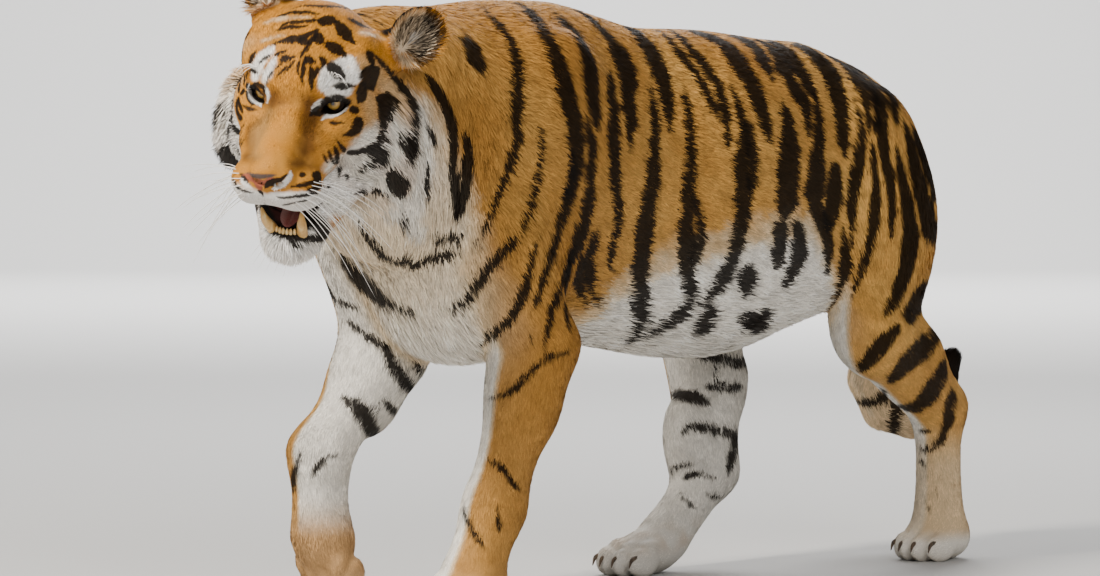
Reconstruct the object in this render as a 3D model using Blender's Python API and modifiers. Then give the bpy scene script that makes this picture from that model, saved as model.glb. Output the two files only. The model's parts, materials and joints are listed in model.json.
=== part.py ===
"""A walking Amur tiger at life size, still, parted into the pieces that a person would name.

Frame: +Z up, the animal faces -Y and its left side is +X, the floor is z = 0 and the origin is the
bottom centre of its box. Lengths are metres.

The body is described as forms: rods (two balls and what joins them) and eggs (ellipsoids), set between
the joints of a skeleton. Blender joins them with a voxel remesh and cuts the hollows, then every vertex
is settled onto the smooth surface that blends the same forms. Thin slabs part the whole into its nodes.
"""

import itertools
import math

import bmesh
import bpy
import numpy as np
from mathutils import Matrix, Vector

# ---------------------------------------------------------------- driving sizes
EYE_SPACING = 0.112  # between the middles of the eyes
EYE_RADIUS = 0.0190
HEAD_AT = (0.121, -0.896, 0.818)  # midway between the eyes
HEAD_TURN, HEAD_NOD, HEAD_TILT = 28.0, 22.5, 9.6  # degrees to its left, nose down, left side down
JAW_SHIFT = 0.018  # the open jaw hangs to the animal's left
FORE_TOE, HIND_TOE = 0.0190, 0.0175  # half the width of a toe
CLAW_RADIUS = 0.0042
CUT = 0.0006  # the width of the cuts that part the body
SOCKET_GAP = 0.0005  # round what sits in the flesh: eyes, claws, teeth
VOXEL = 0.0055
FLESH_TRIANGLES = 4520
FAR = 0.15  # forms further off than this don't touch a point
ROUND_OF = {"trunk": 0.030, "limb": 0.014, "head": 0.0085, "fine": 0.0035}  # how softly forms blend


# ---------------------------------------------------------------- forms
def rod(a, b, ra, rb):
    """Two balls at a and b, and the cone that joins them."""
    return ("rod", np.array(a, float), np.array(b, float), ra, rb)


def egg(centre, radii, tilt=0.0, turn=0.0, lean=0.0):
    """An ellipsoid, turned in degrees about X (tilt, front down), Y (lean) and then Z (turn)."""
    return ("egg", np.array(centre, float), np.array(radii, float), turned(turn, tilt, lean))


def turned(turn, tilt, lean):
    """A rotation matrix: lean about Y, then tilt about X, then turn about Z, in degrees."""
    return np.array(
        Matrix.Rotation(math.radians(turn), 3, "Z")
        @ Matrix.Rotation(math.radians(tilt), 3, "X")
        @ Matrix.Rotation(math.radians(lean), 3, "Y")
    )


HEAD_ROTATION = turned(HEAD_TURN, HEAD_NOD, HEAD_TILT)


def on_head(form):
    """A form given in the head's own axes, from midway between the eyes, moved to where the head is."""
    kind, first, second, third = form[0], form[1], form[2], form[3]
    placed = HEAD_ROTATION @ first + HEAD_AT
    if kind == "rod":
        return ("rod", placed, HEAD_ROTATION @ second + HEAD_AT, third, form[4])
    return ("egg", placed, second, HEAD_ROTATION @ third)


def mirrored(form):
    """The same form on the other side of the head, before it is placed."""
    flip = np.array([-1.0, 1.0, 1.0])
    kind, first, second, third = form[0], form[1], form[2], form[3]
    if kind == "rod":
        return ("rod", first * flip, second * flip, third, form[4])
    reflect = np.diag(flip)
    return ("egg", first * flip, second, reflect @ third @ reflect)


def both_sides(forms):
    return list(forms) + [mirrored(form) for form in forms]


def distance(form, points):
    """How far each point is outside a form, negative inside; for far points, only that they are far."""
    if form[0] == "rod":
        middle = (form[1] + form[2]) / 2
        reach = np.linalg.norm(form[2] - form[1]) / 2 + max(form[3], form[4])
    else:
        middle, reach = form[1], form[2].max()
    near = np.linalg.norm(points - middle, axis=1) < reach + FAR
    found = np.full(len(points), FAR)
    found[near] = near_distance(form, points[near])
    return found


def near_distance(form, points):
    if form[0] == "rod":
        _, a, b, ra, rb = form
        along = b - a
        share = np.clip((points - a) @ along / (along @ along), 0.0, 1.0)
        nearest = a + share[:, None] * along
        return np.linalg.norm(points - nearest, axis=1) - (ra + share * (rb - ra))
    _, centre, radii, rotation = form
    local = (points - centre) @ rotation
    scaled = np.linalg.norm(local / radii, axis=1)
    steep = np.linalg.norm(local / radii**2, axis=1)
    return scaled * (scaled - 1.0) / np.maximum(steep, 1e-9)


def blended(distances, softness):
    """The smooth union of several distances."""
    stack = np.array(distances)
    least = stack.min(axis=0)
    return least - softness * np.log(np.exp((least - stack) / softness).sum(axis=0))


def carved(outside, hollow, softness):
    """What is left of a body when a hollow is taken from it, with a soft edge."""
    return -blended([-outside, hollow], softness)


# ---------------------------------------------------------------- trunk, neck and tail
TRUNK = [
    egg((0, -0.24, 0.690), (0.164, 0.34, 0.262)),  # rib cage
    egg((0, 0.16, 0.680), (0.177, 0.33, 0.250)),  # belly
    egg((0, 0.44, 0.756), (0.125, 0.27, 0.158), tilt=4),  # loin and pelvis
    rod((0, -0.20, 0.885), (0, 0.42, 0.868), 0.066, 0.046),  # spine
    egg((0, -0.42, 0.600), (0.145, 0.175, 0.205)),  # chest
    egg((0, -0.30, 0.860), (0.070, 0.24, 0.110)),  # withers
    egg((0, 0.05, 0.490), (0.110, 0.30, 0.095), tilt=-6),  # hair of the belly
    egg((0.085, 0.31, 0.535), (0.055, 0.17, 0.085), tilt=-4),  # folds from the flank to the thigh
    egg((-0.085, 0.33, 0.535), (0.055, 0.17, 0.085), tilt=-4),
    egg((0, 0.44, 0.575), (0.085, 0.19, 0.085), tilt=-10),  # groin
]
NECK = [
    rod((0.0, -0.42, 0.755), (0.045, -0.715, 0.800), 0.178, 0.118),
    egg((0.015, -0.50, 0.835), (0.095, 0.24, 0.115), tilt=6),  # crest
    egg((0.030, -0.64, 0.868), (0.095, 0.130, 0.088), tilt=4),  # nape
    egg((0.03, -0.60, 0.690), (0.115, 0.150, 0.120), tilt=24),  # throat
]
TAIL_LINE = [
    # x, y, z and radius down the tail
    (0.000, 0.640, 0.800, 0.054),
    (-0.008, 0.730, 0.745, 0.046),
    (-0.030, 0.790, 0.640, 0.041),
    (-0.062, 0.820, 0.510, 0.039),
    (-0.105, 0.822, 0.400, 0.038),
    (-0.128, 0.835, 0.318, 0.037),
    (-0.118, 0.860, 0.262, 0.036),
    (-0.072, 0.885, 0.244, 0.034),
    (-0.022, 0.897, 0.280, 0.031),
    (0.008, 0.898, 0.350, 0.023),
]
TAIL = [rod(a[:3], b[:3], a[3], b[3]) for a, b in zip(TAIL_LINE, TAIL_LINE[1:])]


# ---------------------------------------------------------------- limbs
CLAW_OUT = ((-0.058, 0.036), (-0.072, 0.031), (-0.079, 0.017))  # along and above a toe: root, bend, tip
CLAW_HANGING = ((-0.043, 0.034), (-0.060, 0.040), (-0.071, 0.045))


def paw(at, toe, forward=(0, -1, 0), top=(0, 0, 1), claw_line=CLAW_OUT):
    """(pad forms, toe forms, the claws' lines) of a paw whose sole's middle is at `at`."""
    ahead, up = np.array(forward, float), np.array(top, float)
    across = np.cross(ahead, up)
    frame = np.stack([across, -ahead, up], axis=1)
    at = np.array(at, float)

    def place(x, y, z):
        return at + frame @ np.array([x, y, z])

    pads = [("egg", place(0, 0.028, 0.036), np.array([0.050, 0.056, 0.039]), frame)]
    toes, claws = [], []
    for step in (-1.5, -0.5, 0.5, 1.5):
        x = step * toe * 1.52
        back = 0.0075 * step**2
        splay = np.array(Matrix.Rotation(math.radians(-7.0 * step), 3, "Z"))
        middle = place(x, -0.040 + back, 0.0245)
        size = np.array([toe, 0.035, 0.0275])
        toes.append(("egg", middle, size, frame @ splay))
        knuckle = place(x * 0.9, -0.018 + back, 0.047)
        toes.append(("egg", knuckle, np.array([toe * 0.86, 0.026, 0.016]), frame @ splay))
        claws.append([place(x * 1.06, back + along, above) for along, above in claw_line])
    return pads, toes, claws


def foreleg(side, shoulder, elbow, wrist, ankle):
    """Shoulder, upper arm, forearm and the back of the paw."""
    shoulder, elbow, wrist, ankle = (np.array(p, float) for p in (shoulder, elbow, wrist, ankle))
    muscle = elbow + 0.30 * (wrist - elbow)
    return [
        egg((0.098 * side, -0.335, 0.755), (0.068, 0.125, 0.185), tilt=-20, lean=4 * side),  # blade
        rod(shoulder, elbow, 0.094, 0.066),
        egg(shoulder + (0, 0.075, -0.02), (0.055, 0.100, 0.110)),  # triceps
        egg(elbow + (0.004 * side, 0.036, 0.012), (0.032, 0.034, 0.040)),  # point of the elbow
        rod(elbow, wrist, 0.058, 0.047),
        egg(muscle, (0.060, 0.063, 0.088)),
        rod(wrist, ankle, 0.049, 0.046),
    ]


def hind_leg(side, hip, knee, hock, ankle):
    """Thigh, knee, shin, heel and the long hind foot."""
    hip, knee, hock, ankle = (np.array(p, float) for p in (hip, knee, hock, ankle))
    swing = math.degrees(math.atan2(hip[1] - knee[1], hip[2] - knee[2]))
    calf = knee + 0.42 * (hock - knee)
    heel = hock + (0, 0.012, 0.010)
    return [
        egg(hip + (0, -0.01, -0.01), (0.078, 0.145, 0.155)),  # haunch
        egg(0.55 * hip + 0.45 * knee + (0, 0.040, 0), (0.074, 0.142, 0.195), tilt=-swing * 0.8),
        egg(knee + (0, 0.012, 0.010), (0.058, 0.076, 0.090), tilt=-swing),
        rod(knee, hock, 0.064, 0.048),
        egg(calf + (0, 0.026, 0.018), (0.048, 0.066, 0.095), tilt=38),  # calf
        rod(calf + (0, 0.060, 0.02), heel, 0.036, 0.026),  # the heel's tendon
        rod(hock, ankle, 0.043, 0.045),
    ]


LIMBS = {
    "foreleg_left": foreleg(
        1, (0.118, -0.455, 0.600), (0.137, -0.375, 0.425), (0.112, -0.450, 0.165), (0.105, -0.490, 0.070)
    ),
    "foreleg_right": foreleg(
        -1,
        (-0.117, -0.506, 0.585),
        (-0.135, -0.448, 0.405),
        (-0.125, -0.610, 0.250),
        (-0.127, -0.607, 0.130),
    ),
    "hind_leg_left": hind_leg(
        1, (0.088, 0.545, 0.715), (0.138, 0.490, 0.420), (0.112, 0.724, 0.275), (0.106, 0.735, 0.070)
    ),
    "hind_leg_right": hind_leg(
        -1,
        (-0.088, 0.530, 0.700),
        (-0.140, 0.345, 0.430),
        (-0.112, 0.350, 0.170),
        (-0.104, 0.222, 0.064),
    )
    + [egg((-0.114, 0.292, 0.225), (0.044, 0.050, 0.085), tilt=10)],  # front of its bent hock
}
PAWS = {
    "foreleg_left": paw((0.104, -0.520, 0.0), FORE_TOE),
    "foreleg_right": paw(
        (-0.124, -0.560, 0.0750), FORE_TOE, (0, 0.10, -0.995), (0, -0.995, -0.10), CLAW_HANGING
    ),
    "hind_leg_left": paw((0.105, 0.712, 0.0), HIND_TOE),
    "hind_leg_right": paw((-0.101, 0.135, 0.0), HIND_TOE),
}

# ---------------------------------------------------------------- head, in its own axes
SKULL = [
    egg((0, 0.085, 0.028), (0.098, 0.128, 0.094)),  # cranium
    egg((0, 0.018, 0.022), (0.072, 0.062, 0.058), tilt=20),  # forehead
    rod((0, 0.000, -0.006), (0, -0.106, -0.056), 0.037, 0.033),  # bridge of the nose
    egg((0, -0.078, -0.088), (0.060, 0.068, 0.042), tilt=14),  # muzzle
    egg((0, 0.060, -0.150), (0.078, 0.090, 0.060)),  # throat
] + both_sides(
    [
        egg((0.052, 0.010, 0.030), (0.034, 0.030, 0.020), tilt=24, turn=-14),  # brow
        egg((0.076, 0.042, -0.035), (0.039, 0.076, 0.044), turn=-12),  # cheekbone
        egg((0.080, 0.062, 0.044), (0.028, 0.056, 0.048)),  # temple
        egg((0.085, 0.075, -0.088), (0.044, 0.062, 0.062)),  # jaw muscle
        egg((0.117, 0.125, -0.099), (0.047, 0.056, 0.087), lean=-10),  # ruff of the cheek
        egg((0.044, -0.030, -0.064), (0.039, 0.058, 0.042), turn=-10),  # cheek behind the muzzle
    ]
)
FACE = both_sides(
    [
        egg((0.033, -0.108, -0.096), (0.037, 0.042, 0.031), turn=-10),  # whisker pad
        egg((0.017, -0.136, -0.070), (0.017, 0.018, 0.017)),  # wing of the nose
        egg((0.041, -0.086, -0.119), (0.027, 0.050, 0.015), turn=-14, lean=8),  # upper lip
    ]
) + [
    egg((0, -0.140, -0.068), (0.019, 0.016, 0.021), tilt=20),  # nose
]


def on_jaw(form):
    """A form of the jaw, hung to the animal's left."""
    aside = np.array([JAW_SHIFT, 0.0, 0.0])
    if form[0] == "rod":
        return ("rod", form[1] + aside, form[2] + aside * (0.2, 1, 1), form[3], form[4])
    return ("egg", form[1] + aside, form[2], form[3])


JAW = [
    on_jaw(form)
    for form in [
        egg((0, -0.078, -0.200), (0.036, 0.040, 0.031), tilt=8),
        egg((0, -0.020, -0.178), (0.046, 0.070, 0.026), tilt=12),
    ]
    + both_sides([rod((0.023, -0.066, -0.196), (0.066, 0.050, -0.145), 0.025, 0.036)])
]
MOUTH = on_jaw(egg((-0.009, -0.092, -0.1530), (0.058, 0.088, 0.0188), tilt=9, lean=-4))
EYE_AT = np.array([EYE_SPACING / 2, 0.012, 0.0])
EAR_LEFT = (0.144, 0.145, 0.068)
EAR_RIGHT = (-0.098, 0.148, 0.116)


def ear(at, size, turn, lean):
    return egg(at, size, tilt=-10, turn=turn, lean=lean)


EARS = [
    rod((0.082, 0.115, 0.034), (0.126, 0.148, 0.050), 0.042, 0.030),
    rod((-0.068, 0.115, 0.058), (-0.092, 0.150, 0.090), 0.044, 0.033),
    ear(EAR_LEFT, (0.043, 0.027, 0.052), 26, 34),
    ear(EAR_RIGHT, (0.047, 0.027, 0.056), -34, -20),
]
EAR_CUPS = [
    ear((0.151, 0.126, 0.074), (0.034, 0.026, 0.041), 26, 34),
    ear((-0.108, 0.130, 0.123), (0.038, 0.026, 0.045), -34, -20),
]
NOSTRILS = [egg((0.016, -0.151, -0.078), (0.0085, 0.012, 0.0048), turn=30, lean=-24)]
SOCKETS = [egg(EYE_AT + (0.002, -0.022, 0.001), (0.0180, 0.020, 0.0115), turn=-20, lean=-12)]


def head_forms(forms):
    return [on_head(form) for form in forms]


BLENDS = [
    # forms, how softly they blend
    (TRUNK + NECK, ROUND_OF["trunk"]),
    (TAIL, ROUND_OF["limb"]),
    *[(forms, ROUND_OF["limb"]) for forms in LIMBS.values()],
    *[(paws[0], ROUND_OF["limb"]) for paws in PAWS.values()],
]
TOES = [form for paws in PAWS.values() for form in paws[1]]
HEAD_BLENDS = [
    (head_forms(SKULL), ROUND_OF["head"]),
    (head_forms(EARS), ROUND_OF["fine"]),
    (head_forms(JAW), ROUND_OF["head"]),
    (head_forms(FACE), ROUND_OF["fine"]),
]
HOLLOWS = head_forms([MOUTH] + EAR_CUPS + both_sides(NOSTRILS + SOCKETS))


def field(points):
    """How far points are outside the whole animal."""
    body = blended([blended([distance(f, points) for f in forms], k) for forms, k in BLENDS], 0.016)
    toes = blended([distance(form, points) for form in TOES], 0.0022)
    head = blended([blended([distance(f, points) for f in forms], k) for forms, k in HEAD_BLENDS], 0.006)
    whole = blended([blended([body, toes], 0.004), head], 0.010)
    for hollow in HOLLOWS:
        whole = carved(whole, distance(hollow, points), 0.0025)
    return whole


def settled(points, rounds=6):
    """The points moved along the field's slope onto the animal's surface."""
    step = 0.0004
    corners = np.array([[1, -1, -1], [-1, -1, 1], [-1, 1, -1], [1, 1, 1]], float)
    for _ in range(rounds):
        slope = sum(np.outer(field(points + step * c), c) for c in corners) / (4 * step)
        length = np.maximum(np.linalg.norm(slope, axis=1), 0.3)
        move = np.clip(field(points) / length, -0.010, 0.010)
        points = points - 0.9 * (move / length)[:, None] * slope
    return points


# ---------------------------------------------------------------- scene, collections and materials
for thing in list(bpy.data.objects):
    bpy.data.objects.remove(thing, do_unlink=True)
TIGER = bpy.data.collections.new("tiger")
CUTTERS = bpy.data.collections.new("cutters")
for group in (TIGER, CUTTERS):
    bpy.context.scene.collection.children.link(group)
CUTTERS.hide_render = True

COATS = {
    # colour, roughness
    "coat": ((0.62, 0.30, 0.09), 0.85),
    "pale_coat": ((0.80, 0.72, 0.60), 0.85),
    "eye": ((0.42, 0.26, 0.06), 0.15),
    "tooth": ((0.84, 0.74, 0.50), 0.35),
    "tongue": ((0.50, 0.17, 0.15), 0.55),
    "claw": ((0.16, 0.13, 0.10), 0.45),
}


def material_for(node, kind):
    made = bpy.data.materials.new(node)
    made.use_nodes = True
    shader = made.node_tree.nodes["Principled BSDF"]
    colour, roughness = COATS[kind]
    shader.inputs["Base Color"].default_value = (*colour, 1.0)
    shader.inputs["Roughness"].default_value = roughness
    return made


def object_from(name, shape, collection):
    """A Blender object from a bmesh, in a collection."""
    bmesh.ops.recalc_face_normals(shape, faces=shape.faces)
    mesh = bpy.data.meshes.new(name)
    shape.to_mesh(mesh)
    shape.free()
    thing = bpy.data.objects.new(name, mesh)
    collection.objects.link(thing)
    if collection is CUTTERS:
        thing.display_type = "WIRE"
        thing.hide_render = True
    return thing


def baked(thing):
    """Its modifiers made part of its mesh."""
    bpy.context.view_layer.update()
    graph = bpy.context.evaluated_depsgraph_get()
    mesh = bpy.data.meshes.new_from_object(thing.evaluated_get(graph))
    thing.modifiers.clear()
    thing.data = mesh
    return thing


def boolean(thing, cutter, operation):
    cut = thing.modifiers.new("cut", "BOOLEAN")
    cut.operation = operation
    cut.solver = "EXACT"
    cut.object = cutter
    return baked(thing)


def copy_of(thing, name, collection):
    other = bpy.data.objects.new(name, thing.data.copy())
    collection.objects.link(other)
    return other


def largest_body(thing):
    """Crumbs that a cut leaves are dropped: only the largest loose body stays."""
    shape = bmesh.new()
    shape.from_mesh(thing.data)
    waiting = set(shape.verts)
    bodies = []
    while waiting:
        seed = min(waiting, key=lambda vert: vert.index)
        body, edge = {seed}, [seed]
        while edge:
            vert = edge.pop()
            for link in vert.link_edges:
                other = link.other_vert(vert)
                if other not in body:
                    body.add(other)
                    edge.append(other)
        waiting -= body
        bodies.append(body)
    keep = max(bodies, key=len)
    bmesh.ops.delete(shape, geom=[vert for vert in shape.verts if vert not in keep], context="VERTS")
    shape.to_mesh(thing.data)
    shape.free()
    return thing


# ---------------------------------------------------------------- the whole body
def add_form(shape, form, grow=0.0, fine=3):
    """The form's own faceted mesh added to a bmesh, larger by `grow`."""
    if form[0] == "egg":
        _, centre, radii, rotation = form
        size = Matrix.Diagonal(Vector((radii + grow).tolist()))
        placed = Matrix(rotation.tolist()) @ size
        made = bmesh.ops.create_icosphere(shape, subdivisions=fine, radius=1.0)
        matrix = Matrix.Translation(centre.tolist()) @ placed.to_4x4()
        bmesh.ops.transform(shape, matrix=matrix, verts=made["verts"])
        return
    for centre, radius in ((form[1], form[3]), (form[2], form[4])):
        place = Matrix.Translation(centre.tolist())
        bmesh.ops.create_icosphere(shape, subdivisions=fine, radius=radius + grow, matrix=place)
    bmesh.ops.delete(shape, geom=shape.faces[:], context="FACES_ONLY")
    bmesh.ops.convex_hull(shape, input=shape.verts[:])
    inside = [vert for vert in shape.verts if not vert.link_faces]
    bmesh.ops.delete(shape, geom=inside, context="VERTS")


def forms_object(name, forms, grow=0.0, fine=3):
    shape = bmesh.new()
    for form in forms:
        part = bmesh.new()
        add_form(part, form, grow, fine)
        mesh = bpy.data.meshes.new("form")
        part.to_mesh(mesh)
        part.free()
        shape.from_mesh(mesh)
        bpy.data.meshes.remove(mesh)
    return object_from(name, shape, CUTTERS)


def points_of(thing):
    points = np.empty(len(thing.data.vertices) * 3)
    thing.data.vertices.foreach_get("co", points)
    return points.reshape(-1, 3)


def fineness(points):
    """From 0 on the plain body to 1 on the face, where small facets matter."""
    to_face = np.linalg.norm((points - HEAD_AT) * (1.0, 1.0, 0.8), axis=1)
    face = np.clip((0.26 - to_face) / 0.12, 0.0, 1.0)
    paw = np.clip((0.10 - points[:, 2]) / 0.06, 0.0, 1.0)
    limb = np.clip((0.40 - points[:, 2]) / 0.20, 0.0, 1.0)
    return np.maximum(np.maximum(face, 0.75 * paw), 0.25 * limb)


def remeshed(thing):
    """Its volume, wrapped in one skin of even quads."""
    skin = thing.modifiers.new("skin", "REMESH")
    skin.mode = "VOXEL"
    skin.voxel_size = VOXEL
    return baked(thing)


def whole_body():
    forms = [form for blend, _ in BLENDS + HEAD_BLENDS for form in blend] + TOES
    body = remeshed(forms_object("body", forms))
    boolean(body, forms_object("hollows", HOLLOWS), "DIFFERENCE")
    remeshed(body)
    points = settled(points_of(body))
    body.data.vertices.foreach_set("co", points.ravel())
    body.data.update()
    return body


def lightened(body, triangles):
    """The body with fewer facets, most of them kept where fineness asks."""
    group = body.vertex_groups.new(name="plain")
    plain = 1.0 - 0.66 * fineness(points_of(body))
    for level in range(1, 21):
        chosen = np.nonzero(np.round(plain * 20) == level)[0]
        group.add(chosen.tolist(), level / 20, "REPLACE")
    body.data.calc_loop_triangles()
    thin = body.modifiers.new("light", "DECIMATE")
    thin.ratio = triangles / len(body.data.loop_triangles)
    thin.vertex_group = group.name
    thin.vertex_group_factor = 1.0
    return baked(body)


# ---------------------------------------------------------------- teeth, tongue, claws and eyes
def horn(line, radii, sides=7):
    """A bmesh of a closed horn: rings along the line, the last point its tip."""
    shape = bmesh.new()
    rings = []
    for place, radius in zip(line[:-1], radii):
        ahead = Vector(line[-1] - line[0]).normalized()
        aside = ahead.orthogonal().normalized()
        other = ahead.cross(aside)
        ring = []
        for n in range(sides):
            turn = math.tau * n / sides
            spoke = aside * math.cos(turn) + other * math.sin(turn)
            ring.append(shape.verts.new(Vector(place) + spoke * radius))
        rings.append(ring)
    tip = shape.verts.new(Vector(line[-1]))
    for low, high in zip(rings, rings[1:]):
        for n in range(sides):
            m = (n + 1) % sides
            shape.faces.new((low[n], low[m], high[m], high[n]))
    for n in range(sides):
        shape.faces.new((rings[-1][n], rings[-1][(n + 1) % sides], tip))
    shape.faces.new(reversed(rings[0]))
    return shape


def egg_mesh(form, grow=0.0, fine=2):
    shape = bmesh.new()
    add_form(shape, form, grow, fine)
    return shape


def seated(name, kind, shape_of, host):
    """A small piece sitting in its host, which is cut by a slightly larger copy of it."""
    thing = object_from(name, shape_of(0.0), TIGER)
    thing.data.materials.append(material_for(name, kind))
    cutter = object_from(name + "_seat", shape_of(SOCKET_GAP), CUTTERS)
    boolean(host, cutter, "DIFFERENCE")
    return thing


def head_point(x, y, z):
    return HEAD_ROTATION @ np.array([x, y, z]) + HEAD_AT


def jaw_point(x, y, z):
    return head_point(x + JAW_SHIFT, y, z)


def canine(side, grow):
    line = [
        jaw_point(0.0225 * side, -0.090, -0.196),
        jaw_point(0.0240 * side, -0.098, -0.176),
        jaw_point(0.0250 * side, -0.104, -0.158),
        jaw_point(0.0245 * side, -0.101, -0.143),
    ]
    return horn(line, (0.0085 + grow, 0.0082 + grow, 0.0058 + grow))


def claw(line, grow):
    return horn(line, (CLAW_RADIUS + grow, CLAW_RADIUS * 0.8 + grow), 6)


TONGUE = on_head(on_jaw(egg((0, -0.056, -0.174), (0.0185, 0.044, 0.013), tilt=8)))
EYES = {side: on_head(egg(EYE_AT * (side, 1, 1), [EYE_RADIUS] * 3)) for side in (1, -1)}


# ---------------------------------------------------------------- parting
def hull_object(name, corners):
    """A convex cutter through the corners."""
    shape = bmesh.new()
    for corner in corners:
        shape.verts.new(corner)
    bmesh.ops.convex_hull(shape, input=shape.verts[:])
    return object_from(name, shape, CUTTERS)


def block(low, high, place=None):
    """The eight corners of a box, moved by `place` if it is given."""
    corners = itertools.product(*zip(low, high))
    return [tuple(place(*corner)) if place else corner for corner in corners]


def leg_region(side, low_y, high_y, top_y, top, inner, top_inner):
    """From the floor to the animal's flank, leaning in towards the top."""
    foot = block((side * inner, low_y, -0.1), (side * 0.34, high_y, 0.36))
    return foot + [(side * x, y, top) for x in (top_inner, 0.34) for y in top_y]


def grown(corners, gap):
    middle = np.mean(corners, axis=0)
    out = []
    for corner in corners:
        away = np.array(corner) - middle
        out.append(tuple(np.array(corner) + gap * np.sign(away)))
    return out


REGIONS = {
    # each is taken from what is left of the body, in this order
    "ear_left": block((0.078, 0.06, 0.052), (0.26, 0.26, 0.20), head_point),
    "ear_right": block((-0.26, 0.06, 0.076), (-0.074, 0.26, 0.24), head_point),
    "lower_jaw": block((-0.10, -0.20, -0.30), (0.12, 0.005, -0.156), head_point),
    "head": block((-0.30, -0.30, -0.27), (0.30, 0.165, 0.26), head_point),
    "neck": [
        (x, y, z)
        for x in (-0.4, 0.4)
        for y, z in ((-0.36, 1.05), (-0.615, 0.60), (-1.0, 0.60), (-1.0, 1.05))
    ],
    "tail_tip": [
        *block((-0.22, 0.780, 0.15), (-0.040, 1.0, 0.36)),
        *block((-0.04, 0.84, 0.15), (0.052, 1.0, 0.43)),
    ],
    "tail_middle": block((-0.22, 0.757, 0.30), (0.06, 1.0, 0.58)),
    "tail_base": [
        (x, y, z)
        for x in (-0.12, 0.08)
        for y, z in ((0.790, 0.82), (0.700, 0.735), (0.757, 0.56), (0.92, 0.56), (0.95, 0.82))
    ],
    "forepaw_left": block((0.02, -0.80, -0.1), (0.30, -0.30, 0.115)),
    "forepaw_right": block((-0.30, -0.80, -0.1), (-0.02, -0.45, 0.150)),
    "hindpaw_left": block((0.02, 0.45, -0.1), (0.30, 0.95, 0.100)),
    "hindpaw_right": block((-0.30, -0.10, -0.1), (-0.02, 0.36, 0.100)),
    "foreleg_left": leg_region(1, -0.75, -0.22, (-0.50, -0.26), 0.84, 0.032, 0.135),
    "foreleg_right": leg_region(-1, -0.85, -0.22, (-0.50, -0.26), 0.84, 0.032, 0.135),
    "hind_leg_left": leg_region(1, 0.33, 0.90, (0.42, 0.66), 0.84, 0.025, 0.095),
    "hind_leg_right": leg_region(-1, 0.10, 0.90, (0.38, 0.66), 0.84, 0.025, 0.095),
}
PALE = ("lower_jaw", "forepaw_right", "hindpaw_left", "hindpaw_right")


def part_from(rest, name, corners):
    """The piece of the rest in a region, as its own node; the rest loses a little more than it."""
    piece = copy_of(rest, name, TIGER)
    boolean(piece, hull_object(name + "_region", corners), "INTERSECT")
    largest_body(piece)
    piece.data.materials.clear()
    piece.data.materials.append(material_for(name, "pale_coat" if name in PALE else "coat"))
    boolean(rest, hull_object(name + "_clear", grown(corners, CUT)), "DIFFERENCE")
    largest_body(rest)
    return piece


def centred(nodes):
    """All the nodes moved together, so that the origin is the bottom centre of their box."""
    corners = np.concatenate([points_of(node) for node in nodes])
    low, high = corners.min(axis=0), corners.max(axis=0)
    shift = Vector((-(low[0] + high[0]) / 2, -(low[1] + high[1]) / 2, -low[2]))
    for node in nodes:
        node.data.transform(Matrix.Translation(shift))


def build():
    body = lightened(whole_body(), FLESH_TRIANGLES)
    floor = hull_object("floor", block((-1, -2, -1), (1, 2, 0)))
    boolean(body, floor, "DIFFERENCE")
    nodes = {}
    for side, word in ((1, "left"), (-1, "right")):
        nodes["eye_" + word] = seated(
            "eye_" + word, "eye", lambda grow, side=side: egg_mesh(EYES[side], grow, 3), body
        )
    nodes["tongue"] = seated("tongue", "tongue", lambda grow: egg_mesh(TONGUE, grow), body)
    for side, word in ((1, "left"), (-1, "right")):
        name = "canine_" + word
        nodes[name] = seated(name, "tooth", lambda grow, side=side: canine(side, grow), body)
    for limb, (_, _, claws) in PAWS.items():
        for n, line in enumerate(claws):
            name = f"claw_{limb}_{n + 1}"
            nodes[name] = seated(name, "claw", lambda grow, line=line: claw(line, grow), body)
    for name, corners in REGIONS.items():
        nodes[name] = part_from(body, name, corners)
    body.name = "trunk"
    CUTTERS.objects.unlink(body)
    TIGER.objects.link(body)
    body.hide_render = False
    body.data.materials.clear()
    body.data.materials.append(material_for("trunk", "coat"))
    nodes["trunk"] = body
    centred(nodes.values())
    return nodes


if __name__ == "__main__":
    PARTS = build()
    for part in sorted(PARTS):
        print(part, len(PARTS[part].data.vertices))
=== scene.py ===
"""The looks of a walking Amur tiger at life size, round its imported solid: one skin with lids, lips
and nose, a coat of flat tufts that follow the lie of the hair, eyes, teeth, tongue, claws, whiskers.

Everything is laid out in the animal's own axes (it faces -Y, its left is +X, the floor is z = 0)
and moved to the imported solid's place at the end. Lengths are metres.
"""

import json
import math

import bmesh
import bpy
import numpy as np
from mathutils import Matrix, Vector
from mathutils.bvhtree import BVHTree

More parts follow.
